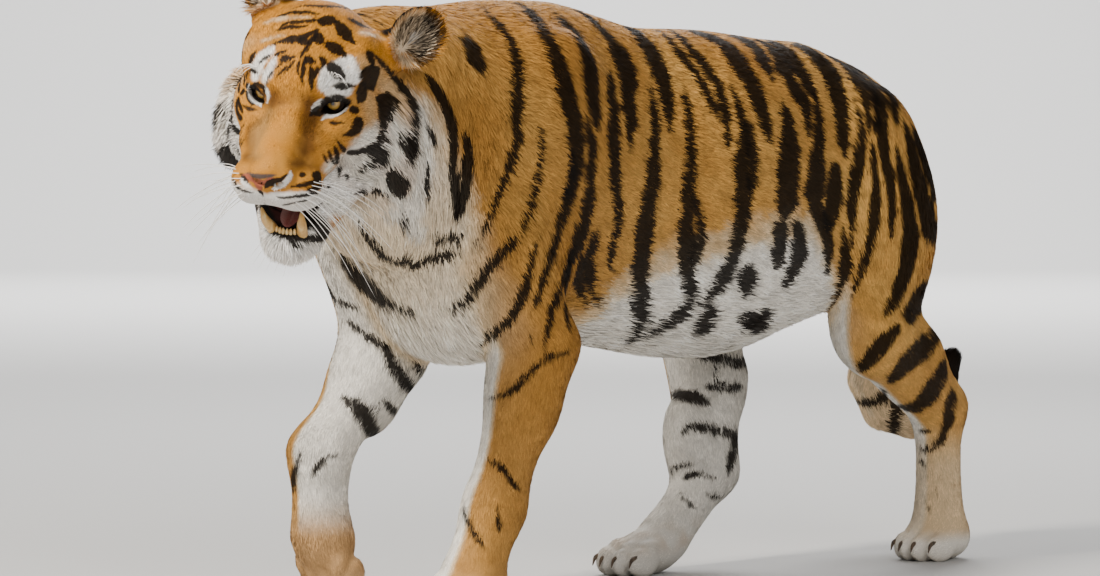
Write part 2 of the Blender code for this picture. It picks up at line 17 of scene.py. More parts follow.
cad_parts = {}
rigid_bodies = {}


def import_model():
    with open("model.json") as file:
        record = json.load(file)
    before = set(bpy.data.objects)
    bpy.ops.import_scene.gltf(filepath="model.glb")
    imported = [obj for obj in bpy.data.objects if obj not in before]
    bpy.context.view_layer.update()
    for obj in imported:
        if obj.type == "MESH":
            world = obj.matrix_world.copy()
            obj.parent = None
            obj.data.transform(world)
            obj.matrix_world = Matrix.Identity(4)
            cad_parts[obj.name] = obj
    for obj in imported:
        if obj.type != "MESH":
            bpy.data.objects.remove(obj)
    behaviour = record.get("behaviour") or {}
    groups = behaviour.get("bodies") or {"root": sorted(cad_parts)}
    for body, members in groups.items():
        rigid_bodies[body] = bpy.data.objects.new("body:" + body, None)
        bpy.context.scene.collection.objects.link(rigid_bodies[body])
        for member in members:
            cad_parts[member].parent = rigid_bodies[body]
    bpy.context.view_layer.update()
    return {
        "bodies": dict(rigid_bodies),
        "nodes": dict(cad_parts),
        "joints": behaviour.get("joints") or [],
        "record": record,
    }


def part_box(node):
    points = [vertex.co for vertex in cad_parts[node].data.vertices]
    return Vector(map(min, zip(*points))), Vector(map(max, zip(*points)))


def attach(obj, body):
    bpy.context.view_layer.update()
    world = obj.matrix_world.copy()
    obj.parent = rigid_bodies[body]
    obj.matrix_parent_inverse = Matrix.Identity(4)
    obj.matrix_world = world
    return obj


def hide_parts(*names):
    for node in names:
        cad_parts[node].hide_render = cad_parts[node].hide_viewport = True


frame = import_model()

# ---------------------------------------------------------------- driving sizes
EYE_SPACING = 0.112  # between the middles of the eyes
EYE_RADIUS = 0.0190
HEAD_AT = (0.121, -0.896, 0.818)  # midway between the eyes
HEAD_TURN, HEAD_NOD, HEAD_TILT = 28.0, 22.5, 9.6  # degrees to its left, nose down, left side down
JAW_SHIFT = 0.018  # the open jaw hangs to the animal's left
FORE_TOE, HIND_TOE = 0.0190, 0.0175  # half the width of a toe
CLAW_RADIUS = 0.0042
VOXEL = 0.0060
SKIN_TRIANGLES = 92000
FAR = 0.15  # forms further off than this don't touch a point
ROUND_OF = {"trunk": 0.030, "limb": 0.014, "head": 0.0085, "fine": 0.0035}  # how softly forms blend

# ---------------------------------------------------------------- forms
def rod(a, b, ra, rb):
    """Two balls at a and b, and the cone that joins them."""
    return ("rod", np.array(a, float), np.array(b, float), ra, rb)


def egg(centre, radii, tilt=0.0, turn=0.0, lean=0.0):
    """An ellipsoid, turned in degrees about X (tilt, front down), Y (lean) and then Z (turn)."""
    return ("egg", np.array(centre, float), np.array(radii, float), turned(turn, tilt, lean))


def turned(turn, tilt, lean):
    """A rotation matrix: lean about Y, then tilt about X, then turn about Z, in degrees."""
    return np.array(
        Matrix.Rotation(math.radians(turn), 3, "Z")
        @ Matrix.Rotation(math.radians(tilt), 3, "X")
        @ Matrix.Rotation(math.radians(lean), 3, "Y")
    )


HEAD_ROTATION = turned(HEAD_TURN, HEAD_NOD, HEAD_TILT)


def on_head(form):
    """A form in the head's own axes, from midway between the eyes, moved to where the head is."""
    kind, first, second, third = form[0], form[1], form[2], form[3]
    placed = HEAD_ROTATION @ first + HEAD_AT
    if kind == "rod":
        return ("rod", placed, HEAD_ROTATION @ second + HEAD_AT, third, form[4])
    return ("egg", placed, second, HEAD_ROTATION @ third)


def mirrored(form):
    """The same form on the other side of the head, before it is placed."""
    flip = np.array([-1.0, 1.0, 1.0])
    kind, first, second, third = form[0], form[1], form[2], form[3]
    if kind == "rod":
        return ("rod", first * flip, second * flip, third, form[4])
    reflect = np.diag(flip)
    return ("egg", first * flip, second, reflect @ third @ reflect)


def both_sides(forms):
    return list(forms) + [mirrored(form) for form in forms]


def distance(form, points):
    """How far each point is outside a form, negative inside; far points are only said to be far."""
    if form[0] == "rod":
        middle = (form[1] + form[2]) / 2
        reach = np.linalg.norm(form[2] - form[1]) / 2 + max(form[3], form[4])
    else:
        middle, reach = form[1], form[2].max()
    near = np.linalg.norm(points - middle, axis=1) < reach + FAR
    found = np.full(len(points), FAR)
    found[near] = near_distance(form, points[near])
    return found


def near_distance(form, points):
    if form[0] == "rod":
        _, a, b, ra, rb = form
        along = b - a
        share = np.clip((points - a) @ along / (along @ along), 0.0, 1.0)
        nearest = a + share[:, None] * along
        return np.linalg.norm(points - nearest, axis=1) - (ra + share * (rb - ra))
    _, centre, radii, rotation = form
    local = (points - centre) @ rotation
    scaled = np.linalg.norm(local / radii, axis=1)
    steep = np.linalg.norm(local / radii**2, axis=1)
    return scaled * (scaled - 1.0) / np.maximum(steep, 1e-9)


def blended(distances, softness):
    """The smooth union of several distances."""
    stack = np.array(distances)
    least = stack.min(axis=0)
    return least - softness * np.log(np.exp((least - stack) / softness).sum(axis=0))


def carved(outside, hollow, softness):
    """What is left of a body when a hollow is taken from it, with a soft edge."""
    return -blended([-outside, hollow], softness)


# ---------------------------------------------------------------- trunk, neck and tail
TRUNK = [
    egg((0, -0.24, 0.690), (0.164, 0.34, 0.262)),  # rib cage
    egg((0, 0.16, 0.680), (0.177, 0.33, 0.250)),  # belly
    egg((0, 0.44, 0.756), (0.125, 0.27, 0.158), tilt=4),  # loin and pelvis
    rod((0, -0.20, 0.885), (0, 0.42, 0.868), 0.066, 0.046),  # spine
    egg((0, -0.42, 0.600), (0.145, 0.175, 0.205)),  # chest
    egg((0, -0.30, 0.860), (0.070, 0.24, 0.110)),  # withers
    egg((0, 0.05, 0.490), (0.110, 0.30, 0.095), tilt=-6),  # hair of the belly
    egg((0.085, 0.31, 0.535), (0.055, 0.17, 0.085), tilt=-4),  # folds from the flank to the thigh
    egg((-0.085, 0.33, 0.535), (0.055, 0.17, 0.085), tilt=-4),
    egg((0, 0.44, 0.575), (0.085, 0.19, 0.085), tilt=-10),  # groin
]
NECK = [
    rod((0.0, -0.42, 0.755), (0.045, -0.715, 0.800), 0.178, 0.118),
    egg((0.015, -0.50, 0.835), (0.095, 0.24, 0.115), tilt=6),  # crest
    egg((0.030, -0.64, 0.868), (0.095, 0.130, 0.088), tilt=4),  # nape
    egg((0.03, -0.60, 0.690), (0.115, 0.150, 0.120), tilt=24),  # throat
]
TAIL_LINE = [
    # x, y, z and radius down the tail
    (0.000, 0.640, 0.800, 0.054),
    (-0.008, 0.730, 0.745, 0.046),
    (-0.030, 0.790, 0.640, 0.041),
    (-0.062, 0.820, 0.510, 0.039),
    (-0.105, 0.822, 0.400, 0.038),
    (-0.128, 0.835, 0.318, 0.037),
    (-0.118, 0.860, 0.262, 0.036),
    (-0.072, 0.885, 0.244, 0.034),
    (-0.022, 0.897, 0.280, 0.031),
    (0.008, 0.898, 0.350, 0.023),
]
TAIL = [rod(a[:3], b[:3], a[3], b[3]) for a, b in zip(TAIL_LINE, TAIL_LINE[1:])]


# ---------------------------------------------------------------- limbs
# A claw along and above its toe: root, bend and tip.
CLAW_OUT = ((-0.058, 0.036), (-0.072, 0.031), (-0.079, 0.017))
CLAW_HANGING = ((-0.043, 0.034), (-0.060, 0.040), (-0.071, 0.045))


def paw(at, toe, forward=(0, -1, 0), top=(0, 0, 1), claw_line=CLAW_OUT):
    """(pad forms, toe forms, the claws' lines) of a paw whose sole's middle is at `at`."""
    ahead, up = np.array(forward, float), np.array(top, float)
    across = np.cross(ahead, up)
    frame = np.stack([across, -ahead, up], axis=1)
    at = np.array(at, float)

    def place(x, y, z):
        return at + frame @ np.array([x, y, z])

    pads = [("egg", place(0, 0.028, 0.036), np.array([0.050, 0.056, 0.039]), frame)]
    toes, claws = [], []
    for step in (-1.5, -0.5, 0.5, 1.5):
        x = step * toe * 1.52
        back = 0.0075 * step**2
        splay = np.array(Matrix.Rotation(math.radians(-7.0 * step), 3, "Z"))
        middle = place(x, -0.040 + back, 0.0245)
        size = np.array([toe, 0.035, 0.0275])
        toes.append(("egg", middle, size, frame @ splay))
        knuckle = place(x * 0.9, -0.018 + back, 0.047)
        toes.append(("egg", knuckle, np.array([toe * 0.86, 0.026, 0.016]), frame @ splay))
        claws.append([place(x * 1.06, back + along, above) for along, above in claw_line])
    return pads, toes, claws


def foreleg(side, shoulder, elbow, wrist, ankle):
    """Shoulder, upper arm, forearm and the back of the paw."""
    shoulder, elbow, wrist, ankle = (np.array(p, float) for p in (shoulder, elbow, wrist, ankle))
    muscle = elbow + 0.30 * (wrist - elbow)
    return [
        egg((0.098 * side, -0.335, 0.755), (0.068, 0.125, 0.185), tilt=-20, lean=4 * side),  # blade
        rod(shoulder, elbow, 0.094, 0.066),
        egg(shoulder + (0, 0.075, -0.02), (0.055, 0.100, 0.110)),  # triceps
        egg(elbow + (0.004 * side, 0.036, 0.012), (0.032, 0.034, 0.040)),  # point of the elbow
        rod(elbow, wrist, 0.058, 0.047),
        egg(muscle, (0.060, 0.063, 0.088)),
        rod(wrist, ankle, 0.049, 0.046),
    ]


def hind_leg(hip, knee, hock, ankle):
    """Thigh, knee, shin, heel and the long hind foot."""
    hip, knee, hock, ankle = (np.array(p, float) for p in (hip, knee, hock, ankle))
    swing = math.degrees(math.atan2(hip[1] - knee[1], hip[2] - knee[2]))
    calf = knee + 0.42 * (hock - knee)
    heel = hock + (0, 0.012, 0.010)
    return [
        egg(hip + (0, -0.01, -0.01), (0.078, 0.145, 0.155)),  # haunch
        egg(0.55 * hip + 0.45 * knee + (0, 0.040, 0), (0.074, 0.142, 0.195), tilt=-swing * 0.8),
        egg(knee + (0, 0.012, 0.010), (0.058, 0.076, 0.090), tilt=-swing),
        rod(knee, hock, 0.064, 0.048),
        egg(calf + (0, 0.026, 0.018), (0.048, 0.066, 0.095), tilt=38),  # calf
        rod(calf + (0, 0.060, 0.02), heel, 0.036, 0.026),  # the heel's tendon
        rod(hock, ankle, 0.043, 0.045),
    ]


LIMBS = {
    "foreleg_left": foreleg(
        1, (0.118, -0.455, 0.600), (0.137, -0.375, 0.425), (0.112, -0.450, 0.165), (0.105, -0.490,
            0.070)
    ),
    "foreleg_right": foreleg(
        -1,
        (-0.117, -0.506, 0.585),
        (-0.135, -0.448, 0.405),
        (-0.125, -0.610, 0.250),
        (-0.127, -0.607, 0.130),
    ),
    "hind_leg_left": hind_leg(
        (0.088, 0.545, 0.715), (0.138, 0.490, 0.420), (0.112, 0.724, 0.275), (0.106, 0.735, 0.070)
    ),
    "hind_leg_right": hind_leg(
        (-0.088, 0.530, 0.700),
        (-0.140, 0.345, 0.430),
        (-0.112, 0.350, 0.170),
        (-0.104, 0.222, 0.064),
    )
    + [egg((-0.114, 0.292, 0.225), (0.044, 0.050, 0.085), tilt=10)],  # front of its bent hock
}
PAWS = {
    "foreleg_left": paw((0.104, -0.520, 0.0), FORE_TOE),
    "foreleg_right": paw(
        (-0.124, -0.560, 0.0750), FORE_TOE, (0, 0.10, -0.995), (0, -0.995, -0.10), CLAW_HANGING
    ),
    "hind_leg_left": paw((0.105, 0.712, 0.0), HIND_TOE),
    "hind_leg_right": paw((-0.101, 0.135, 0.0), HIND_TOE),
}

# ---------------------------------------------------------------- head, in its own axes
SKULL = [
    egg((0, 0.085, 0.028), (0.098, 0.128, 0.094)),  # cranium
    egg((0, 0.018, 0.022), (0.072, 0.062, 0.058), tilt=20),  # forehead
    rod((0, 0.000, -0.006), (0, -0.106, -0.056), 0.037, 0.033),  # bridge of the nose
    egg((0, -0.078, -0.088), (0.060, 0.068, 0.042), tilt=14),  # muzzle
    egg((0, 0.060, -0.150), (0.078, 0.090, 0.060)),  # throat
] + both_sides(
    [
        egg((0.052, 0.010, 0.030), (0.034, 0.030, 0.020), tilt=24, turn=-14),  # brow
        egg((0.076, 0.042, -0.035), (0.039, 0.076, 0.044), turn=-12),  # cheekbone
        egg((0.080, 0.062, 0.044), (0.028, 0.056, 0.048)),  # temple
        egg((0.085, 0.075, -0.088), (0.044, 0.062, 0.062)),  # jaw muscle
        egg((0.117, 0.125, -0.099), (0.047, 0.056, 0.087), lean=-10),  # ruff of the cheek
        egg((0.044, -0.030, -0.064), (0.039, 0.058, 0.042), turn=-10),  # cheek behind the muzzle
    ]
)
FACE = both_sides(
    [
        egg((0.033, -0.108, -0.096), (0.037, 0.042, 0.031), turn=-10),  # whisker pad
        egg((0.017, -0.136, -0.070), (0.017, 0.018, 0.017)),  # wing of the nose
        egg((0.041, -0.086, -0.119), (0.027, 0.050, 0.015), turn=-14, lean=8),  # upper lip
    ]
) + [
    egg((0, -0.140, -0.068), (0.019, 0.016, 0.021), tilt=20),  # nose
]


def on_jaw(form):
    """A form of the jaw, hung to the animal's left."""
    aside = np.array([JAW_SHIFT, 0.0, 0.0])
    if form[0] == "rod":
        return ("rod", form[1] + aside, form[2] + aside * (0.2, 1, 1), form[3], form[4])
    return ("egg", form[1] + aside, form[2], form[3])


JAW = [
    on_jaw(form)
    for form in [
        egg((0, -0.078, -0.200), (0.036, 0.040, 0.031), tilt=8),
        egg((0, -0.020, -0.178), (0.046, 0.070, 0.026), tilt=12),
    ]
    + both_sides([rod((0.023, -0.066, -0.196), (0.066, 0.050, -0.145), 0.025, 0.036)])
]
MOUTH = on_jaw(egg((-0.009, -0.092, -0.1512), (0.058, 0.088, 0.0170), tilt=9, lean=-4))
EYE_AT = np.array([EYE_SPACING / 2, 0.012, 0.0])
EAR_LEFT = (0.144, 0.145, 0.068)
EAR_RIGHT = (-0.098, 0.148, 0.116)


def ear(at, size, turn, lean):
    return egg(at, size, tilt=-10, turn=turn, lean=lean)


EARS = [
    rod((0.082, 0.115, 0.034), (0.126, 0.148, 0.050), 0.042, 0.030),
    rod((-0.068, 0.115, 0.058), (-0.092, 0.150, 0.090), 0.044, 0.033),
    ear(EAR_LEFT, (0.043, 0.027, 0.052), 26, 34),
    ear(EAR_RIGHT, (0.047, 0.027, 0.056), -34, -20),
]
EAR_CUPS = [
    ear((0.151, 0.126, 0.074), (0.034, 0.026, 0.041), 26, 34),
    ear((-0.108, 0.130, 0.123), (0.038, 0.026, 0.045), -34, -20),
]
NOSTRILS = [egg((0.016, -0.151, -0.078), (0.0085, 0.012, 0.0048), turn=30, lean=-24)]
SOCKETS = [egg(EYE_AT + (0.002, -0.022, 0.001), (0.0180, 0.020, 0.0115), turn=-20, lean=-12)]


def head_forms(forms):
    return [on_head(form) for form in forms]


BLENDS = [
    # forms, how softly they blend
    (TRUNK + NECK, ROUND_OF["trunk"]),
    (TAIL, ROUND_OF["limb"]),
    *[(forms, ROUND_OF["limb"]) for forms in LIMBS.values()],
    *[(paws[0], ROUND_OF["limb"]) for paws in PAWS.values()],
]
TOES = [form for paws in PAWS.values() for form in paws[1]]
HEAD_BLENDS = [
    (head_forms(SKULL), ROUND_OF["head"]),
    (head_forms(EARS), ROUND_OF["fine"]),
    (head_forms(JAW), ROUND_OF["head"]),
    (head_forms(FACE), ROUND_OF["fine"]),
]
HOLLOWS = head_forms([MOUTH] + EAR_CUPS + both_sides(NOSTRILS + SOCKETS))


def spread_of(forms):
    """The box of some forms, grown by how far they can touch."""
    lows, highs = [], []
    for form in forms:
        ends = [(form[1], form[2].max())] if form[0] == "egg" else [(form[1], form[3]),
            (form[2], form[4])]
        for middle, reach in ends:
            lows.append(middle - reach)
            highs.append(middle + reach)
    return np.min(lows, axis=0) - FAR, np.max(highs, axis=0) + FAR


def union_of(forms, softness):
    """A function of points: how far they are outside the smooth union of the forms."""
    low, high = spread_of(forms)

    def outside(points):
        found = np.full(len(points), FAR)
        near = np.all((points > low) & (points < high), axis=1)
        if near.any():
            chosen = points[near]
            found[near] = blended([distance(form, chosen) for form in forms], softness)
        return found

    return outside


LIDS = head_forms(both_sides([egg(EYE_AT, [EYE_RADIUS + 0.0024] * 3)]))
BODY_UNIONS = [union_of(forms, softness) for forms, softness in BLENDS]
TOE_UNION = union_of(TOES, 0.0022)
HEAD_UNIONS = [union_of(forms, softness) for forms, softness in HEAD_BLENDS]
LID_UNION = union_of(LIDS, 0.002)


def field(points):
    """How far points are outside the whole animal, out to the tips of its coat."""
    body = blended([union(points) for union in BODY_UNIONS], 0.016)
    head = blended([union(points) for union in HEAD_UNIONS], 0.006)
    head = blended([head, LID_UNION(points)], 0.0016)
    whole = blended([blended([body, TOE_UNION(points)], 0.004), head], 0.010)
    low, high = spread_of(HOLLOWS)
    near = np.all((points > low) & (points < high), axis=1)
    carved_here = whole[near]
    for hollow in HOLLOWS:
        carved_here = carved(carved_here, distance(hollow, points[near]), 0.0012)
    whole[near] = carved_here
    return whole


def on_face(points):
    """Points in the head's own axes, from midway between the eyes."""
    return (points - np.array(HEAD_AT)) @ HEAD_ROTATION


def on_left_half(face):
    """Places in the head's own axes, with its right half folded onto its left."""
    return np.column_stack([np.abs(face[:, 0]), face[:, 1], face[:, 2]])


def smooth(value, low, high):
    """From 0 at low to 1 at high, with soft ends."""
    share = np.clip((value - low) / (high - low), 0.0, 1.0)
    return share * share * (3 - 2 * share)


def near_to(points, middle, inner, outer):
    """1 within `inner` of a point, 0 beyond `outer`."""
    return 1 - smooth(np.linalg.norm(points - np.array(middle), axis=1), inner, outer)


def coat_depth(points):
    """How far under the tips of the coat the skin lies."""
    face = on_face(points)
    body = 0.0075 + 0.004 * (1 - smooth(points[:, 2], 0.50, 0.66)) * smooth(points[:, 2], 0.42,
        0.48)
    leg = 1 - smooth(points[:, 2], 0.34, 0.50)
    paw = 1 - smooth(points[:, 2], 0.07, 0.16)
    depth = body + (0.0045 - body) * leg
    depth = depth + (0.0022 - depth) * paw
    head = 1 - smooth(face[:, 1], 0.06, 0.20)
    head = head * (np.linalg.norm(face, axis=1) < 0.40)
    top = 0.0035 + 0.0035 * smooth(np.abs(face[:, 0]), 0.08, 0.13) * smooth(-face[:, 2], 0.02, 0.08)
    depth = depth + (top - depth) * head
    muzzle = near_to(face, (0.0, -0.110, -0.085), 0.070, 0.125)
    depth = depth + (0.0012 - depth) * muzzle
    for side in (1, -1):
        eye = near_to(face, (EYE_AT[0] * side, EYE_AT[1] - 0.010, 0), 0.022, 0.040)
        depth = depth * (1 - 0.92 * eye)
    for at in (EAR_LEFT, EAR_RIGHT):
        depth = depth + (0.0016 - depth) * near_to(face, at, 0.050, 0.085)
    bare = near_to(face, (0.0, -0.150, -0.072), 0.016, 0.030)
    inside = near_to(face, (JAW_SHIFT * 0.7, -0.070, -0.158), 0.050, 0.085)
    return depth * (1 - bare) * (1 - 0.9 * inside)


def slope_at(points, step=0.0005):
    corners = np.array([[1, -1, -1], [-1, -1, 1], [-1, 1, -1], [1, 1, 1]], float)
    return sum(np.outer(field(points + step * c), c) for c in corners) / (4 * step)


def settled(points, rounds):
    """The points moved along the field's slope onto the skin, a coat's depth inside the animal."""
    depth = coat_depth(points)
    for _ in range(rounds):
        slope = slope_at(points)
        length = np.maximum(np.linalg.norm(slope, axis=1), 0.3)
        move = np.clip((field(points) + depth) / length, -0.012, 0.012)
        points = points - 0.9 * (move / length)[:, None] * slope
    return points


# ---------------------------------------------------------------- scene helpers
def object_from(name, shape):
    """A Blender object from a bmesh."""
    mesh = bpy.data.meshes.new(name)
    shape.to_mesh(mesh)
    shape.free()
    thing = bpy.data.objects.new(name, mesh)
    bpy.context.scene.collection.objects.link(thing)
    return thing


def baked(thing):
    """Its modifiers made part of its mesh."""
    bpy.context.view_layer.update()
    graph = bpy.context.evaluated_depsgraph_get()
    mesh = bpy.data.meshes.new_from_object(thing.evaluated_get(graph))
    thing.modifiers.clear()
    thing.data = mesh
    return thing


def add_form(shape, form, fine=3):
    """The form's own faceted mesh added to a bmesh."""
    if form[0] == "egg":
        _, centre, radii, rotation = form
        placed = Matrix(rotation.tolist()) @ Matrix.Diagonal(Vector(radii.tolist()))
        made = bmesh.ops.create_icosphere(shape, subdivisions=fine, radius=1.0)
        matrix = Matrix.Translation(centre.tolist()) @ placed.to_4x4()
        bmesh.ops.transform(shape, matrix=matrix, verts=made["verts"])
        return
    for centre, radius in ((form[1], form[3]), (form[2], form[4])):
        place = Matrix.Translation(centre.tolist())
        bmesh.ops.create_icosphere(shape, subdivisions=fine, radius=radius, matrix=place)
    bmesh.ops.delete(shape, geom=shape.faces[:], context="FACES_ONLY")
    bmesh.ops.convex_hull(shape, input=shape.verts[:])
    inside = [vert for vert in shape.verts if not vert.link_faces]
    bmesh.ops.delete(shape, geom=inside, context="VERTS")


def forms_object(name, forms):
    shape = bmesh.new()
    for form in forms:
        part = bmesh.new()
        add_form(part, form)
        mesh = bpy.data.meshes.new("form")
        part.to_mesh(mesh)
        part.free()
        shape.from_mesh(mesh)
        bpy.data.meshes.remove(mesh)
    bmesh.ops.recalc_face_normals(shape, faces=shape.faces)
    return object_from(name, shape)


def points_of(thing):
    points = np.empty(len(thing.data.vertices) * 3)
    thing.data.vertices.foreach_get("co", points)
    return points.reshape(-1, 3)


def place_points(thing, points):
    thing.data.vertices.foreach_set("co", points.ravel())
    thing.data.update()


# ---------------------------------------------------------------- the skin
def remeshed(thing, size):
    """Its volume, wrapped in one skin of even quads."""
    skin = thing.modifiers.new("skin", "REMESH")
    skin.mode = "VOXEL"
    skin.voxel_size = size
    return baked(thing)


def detail_at(points):
    """0 on the plain body, 1 on the head and paws, 2 on the face, 3 round eyes and nose."""
    face = on_face(points)
    reach = np.linalg.norm(face, axis=1)
    level = np.where(reach < 0.30, 1, 0)
    level = np.where(points[:, 2] < 0.12, 1, level)
    front = (face[:, 1] < 0.075) & (reach < 0.27)
    level = np.where(front, 2, level)
    for side in (1, -1):
        eye = np.linalg.norm(face - np.array([EYE_AT[0] * side, EYE_AT[1] - 0.015, 0]), axis=1)
        level = np.where(eye < 0.030, 3, level)
    nose = np.linalg.norm(face - np.array([0, -0.145, -0.075]), axis=1)
    level = np.where(nose < 0.030, 3, level)
    return level


def lightened(body, triangles):
    """The body with fewer facets, most of them kept where detail is wanted."""
    group = body.vertex_groups.new(name="plain")
    level = detail_at(points_of(body))
    for n, plain in ((0, 1.0), (1, 0.25), (2, 0.03), (3, 0.0)):
        chosen = np.nonzero(level == n)[0]
        if plain > 0:
            group.add(chosen.tolist(), plain, "REPLACE")
    body.data.calc_loop_triangles()
    thin = body.modifiers.new("light", "DECIMATE")
    thin.ratio = triangles / len(body.data.loop_triangles)
    thin.vertex_group = group.name
    thin.vertex_group_factor = 1.0
    return baked(body)


def refined(body, level):
    """Every edge split in two where the wanted detail is at least this level."""
    shape = bmesh.new()
    shape.from_mesh(body.data)
    points = np.array([vert.co for vert in shape.verts])
    wanted = detail_at(points) >= level
    edges = [
        edge for edge in shape.edges
        if wanted[edge.verts[0].index] and wanted[edge.verts[1].index]
    ]
    bmesh.ops.subdivide_edges(shape, edges=edges, cuts=1, use_grid_fill=True)
    bmesh.ops.triangulate(shape, faces=[face for face in shape.faces if len(face.verts) > 4])
    shape.to_mesh(body.data)
    shape.free()


def skin_object():
    forms = [form for forms, _ in BLENDS + HEAD_BLENDS for form in forms] + TOES
    body = remeshed(forms_object("skin", forms), VOXEL)
    cutter = forms_object("hollows", HOLLOWS)
    cut = body.modifiers.new("cut", "BOOLEAN")
    cut.operation = "DIFFERENCE"
    cut.solver = "EXACT"
    cut.object = cutter
    baked(body)
    bpy.data.objects.remove(cutter)
    remeshed(body, VOXEL)
    place_points(body, settled(points_of(body), 2))
    lightened(body, SKIN_TRIANGLES)
    refined(body, 2)
    refined(body, 3)
    place_points(body, settled(points_of(body), 3))
    points = points_of(body)
    points[:, 2] = np.maximum(points[:, 2], 0.0)
    place_points(body, points)
    return body


# ---------------------------------------------------------------- colours and markings
GOLD = (0.660, 0.370, 0.100)
DEEP = (0.450, 0.190, 0.030)
CREAM = (0.760, 0.600, 0.390)
WHITE = (0.900, 0.855, 0.770)
SNOW = (0.860, 0.830, 0.780)
TAN = (0.560, 0.320, 0.130)
BLACK = (0.009, 0.006, 0.004)
CHEEK_WHITE = (0.800, 0.750, 0.660)
SUNNED = (0.490, 0.195, 0.016)
# umber for the forequarters: partly deeper fur, partly painted shade
UMBER_AND_SHADE = (0.330, 0.145, 0.025)

CENTI, MILLI = 0.01, 0.001
LEFT_FRONT = (-0.674, 0.738, -0.031)  # the way the widths of the strokes are seen
DEEPEST = 1.7  # how far along it a stroke reaches, in its half widths
QUARTER = math.sqrt(0.5)
RIDGE_BARS_FROM, RIDGE_TOP = 88, 101  # centimetres
# Each view: whether it is in the head's axes, its sideways and upward directions, the way it looks.
VIEWS = {
    "side": (False, (0, 1, 0), (0, 0, 1), (-1, 0, 0)),
    "quarter": (False, (QUARTER, QUARTER, 0), (0, 0, 1), (-QUARTER, QUARTER, 0)),
    "front": (False, (1, 0, 0), (0, 0, 1), (0, 1, 0)),
    "top": (False, (1, 0, 0), (0, 1, 0), (0, 0, -1)),
    "portrait": (True, (0.971, 0.229, 0.068), (-0.160, 0.410, 0.898), (-0.178, 0.883, -0.435)),
}

# Black strokes seen in a view: half widths in millimetres at the start, middle and end, then the
# places
# sideways and up in centimetres. Those on the flank and neck are drawn again on the right, warped a
# little.
NECK_BARS = [
    ((10, 18, 8), (-29, 92), (-27.5, 89), (-26, 86)),
    ((11, 9, 3), (-25.7, 96.8), (-22.5, 93), (-20.5, 88), (-20.7, 79), (-21, 73.5), (-25, 63),
        (-27.7, 58)),
    ((3, 5, 5), (-16.7, 77.4), (-16.7, 72.3), (-18.2, 65.7), (-20, 60.5)),
    ((6, 10, 5), (-20.4, 60.3), (-24.8, 55.7), (-28.5, 50), (-31, 48)),
    ((4, 8, 5), (-17.6, 59.2), (-19, 53), (-21, 47.6), (-25, 43.6), (-26.6, 42)),
    ((17, 12, 4), (-20.2, 98.5), (-16, 93.7), (-12.5, 84), (-10.6, 73.6), (-12, 66.5), (-16.6, 52),
        (-18, 48)),
    ((4, 6, 5), (-11.6, 74), (-11.4, 70), (-12.3, 66)),
    ((14, 16, 6), (-13.4, 96.2), (-9, 91), (-8, 84), (-7, 77)),
    ((6, 10, 4), (-8.8, 79.6), (-8, 74), (-8.4, 66), (-10, 59), (-12.9, 53), (-15, 47.6),
        (-16, 42)),
    ((6, 10, 3), (-6.8, 61), (-8, 57), (-8, 53), (-7.5, 50.5), (-5.4, 47.7)),
    ((6, 11, 3), (-9.6, 57), (-9.7, 52), (-8.4, 48)),
    ((4, 7, 4), (-10.7, 62), (-11.5, 56), (-12.4, 50), (-12, 45)),
    ((2, 3, 2), (-18.5, 45), (-17.7, 42.5)),
]
CHEST_BARS = [
    ((6, 14, 4), (-9, 57.7), (-7, 53.5), (-2, 50), (3, 48)),
    ((4, 5, 7), (-13, 46), (-10, 44), (-7, 42)),
]
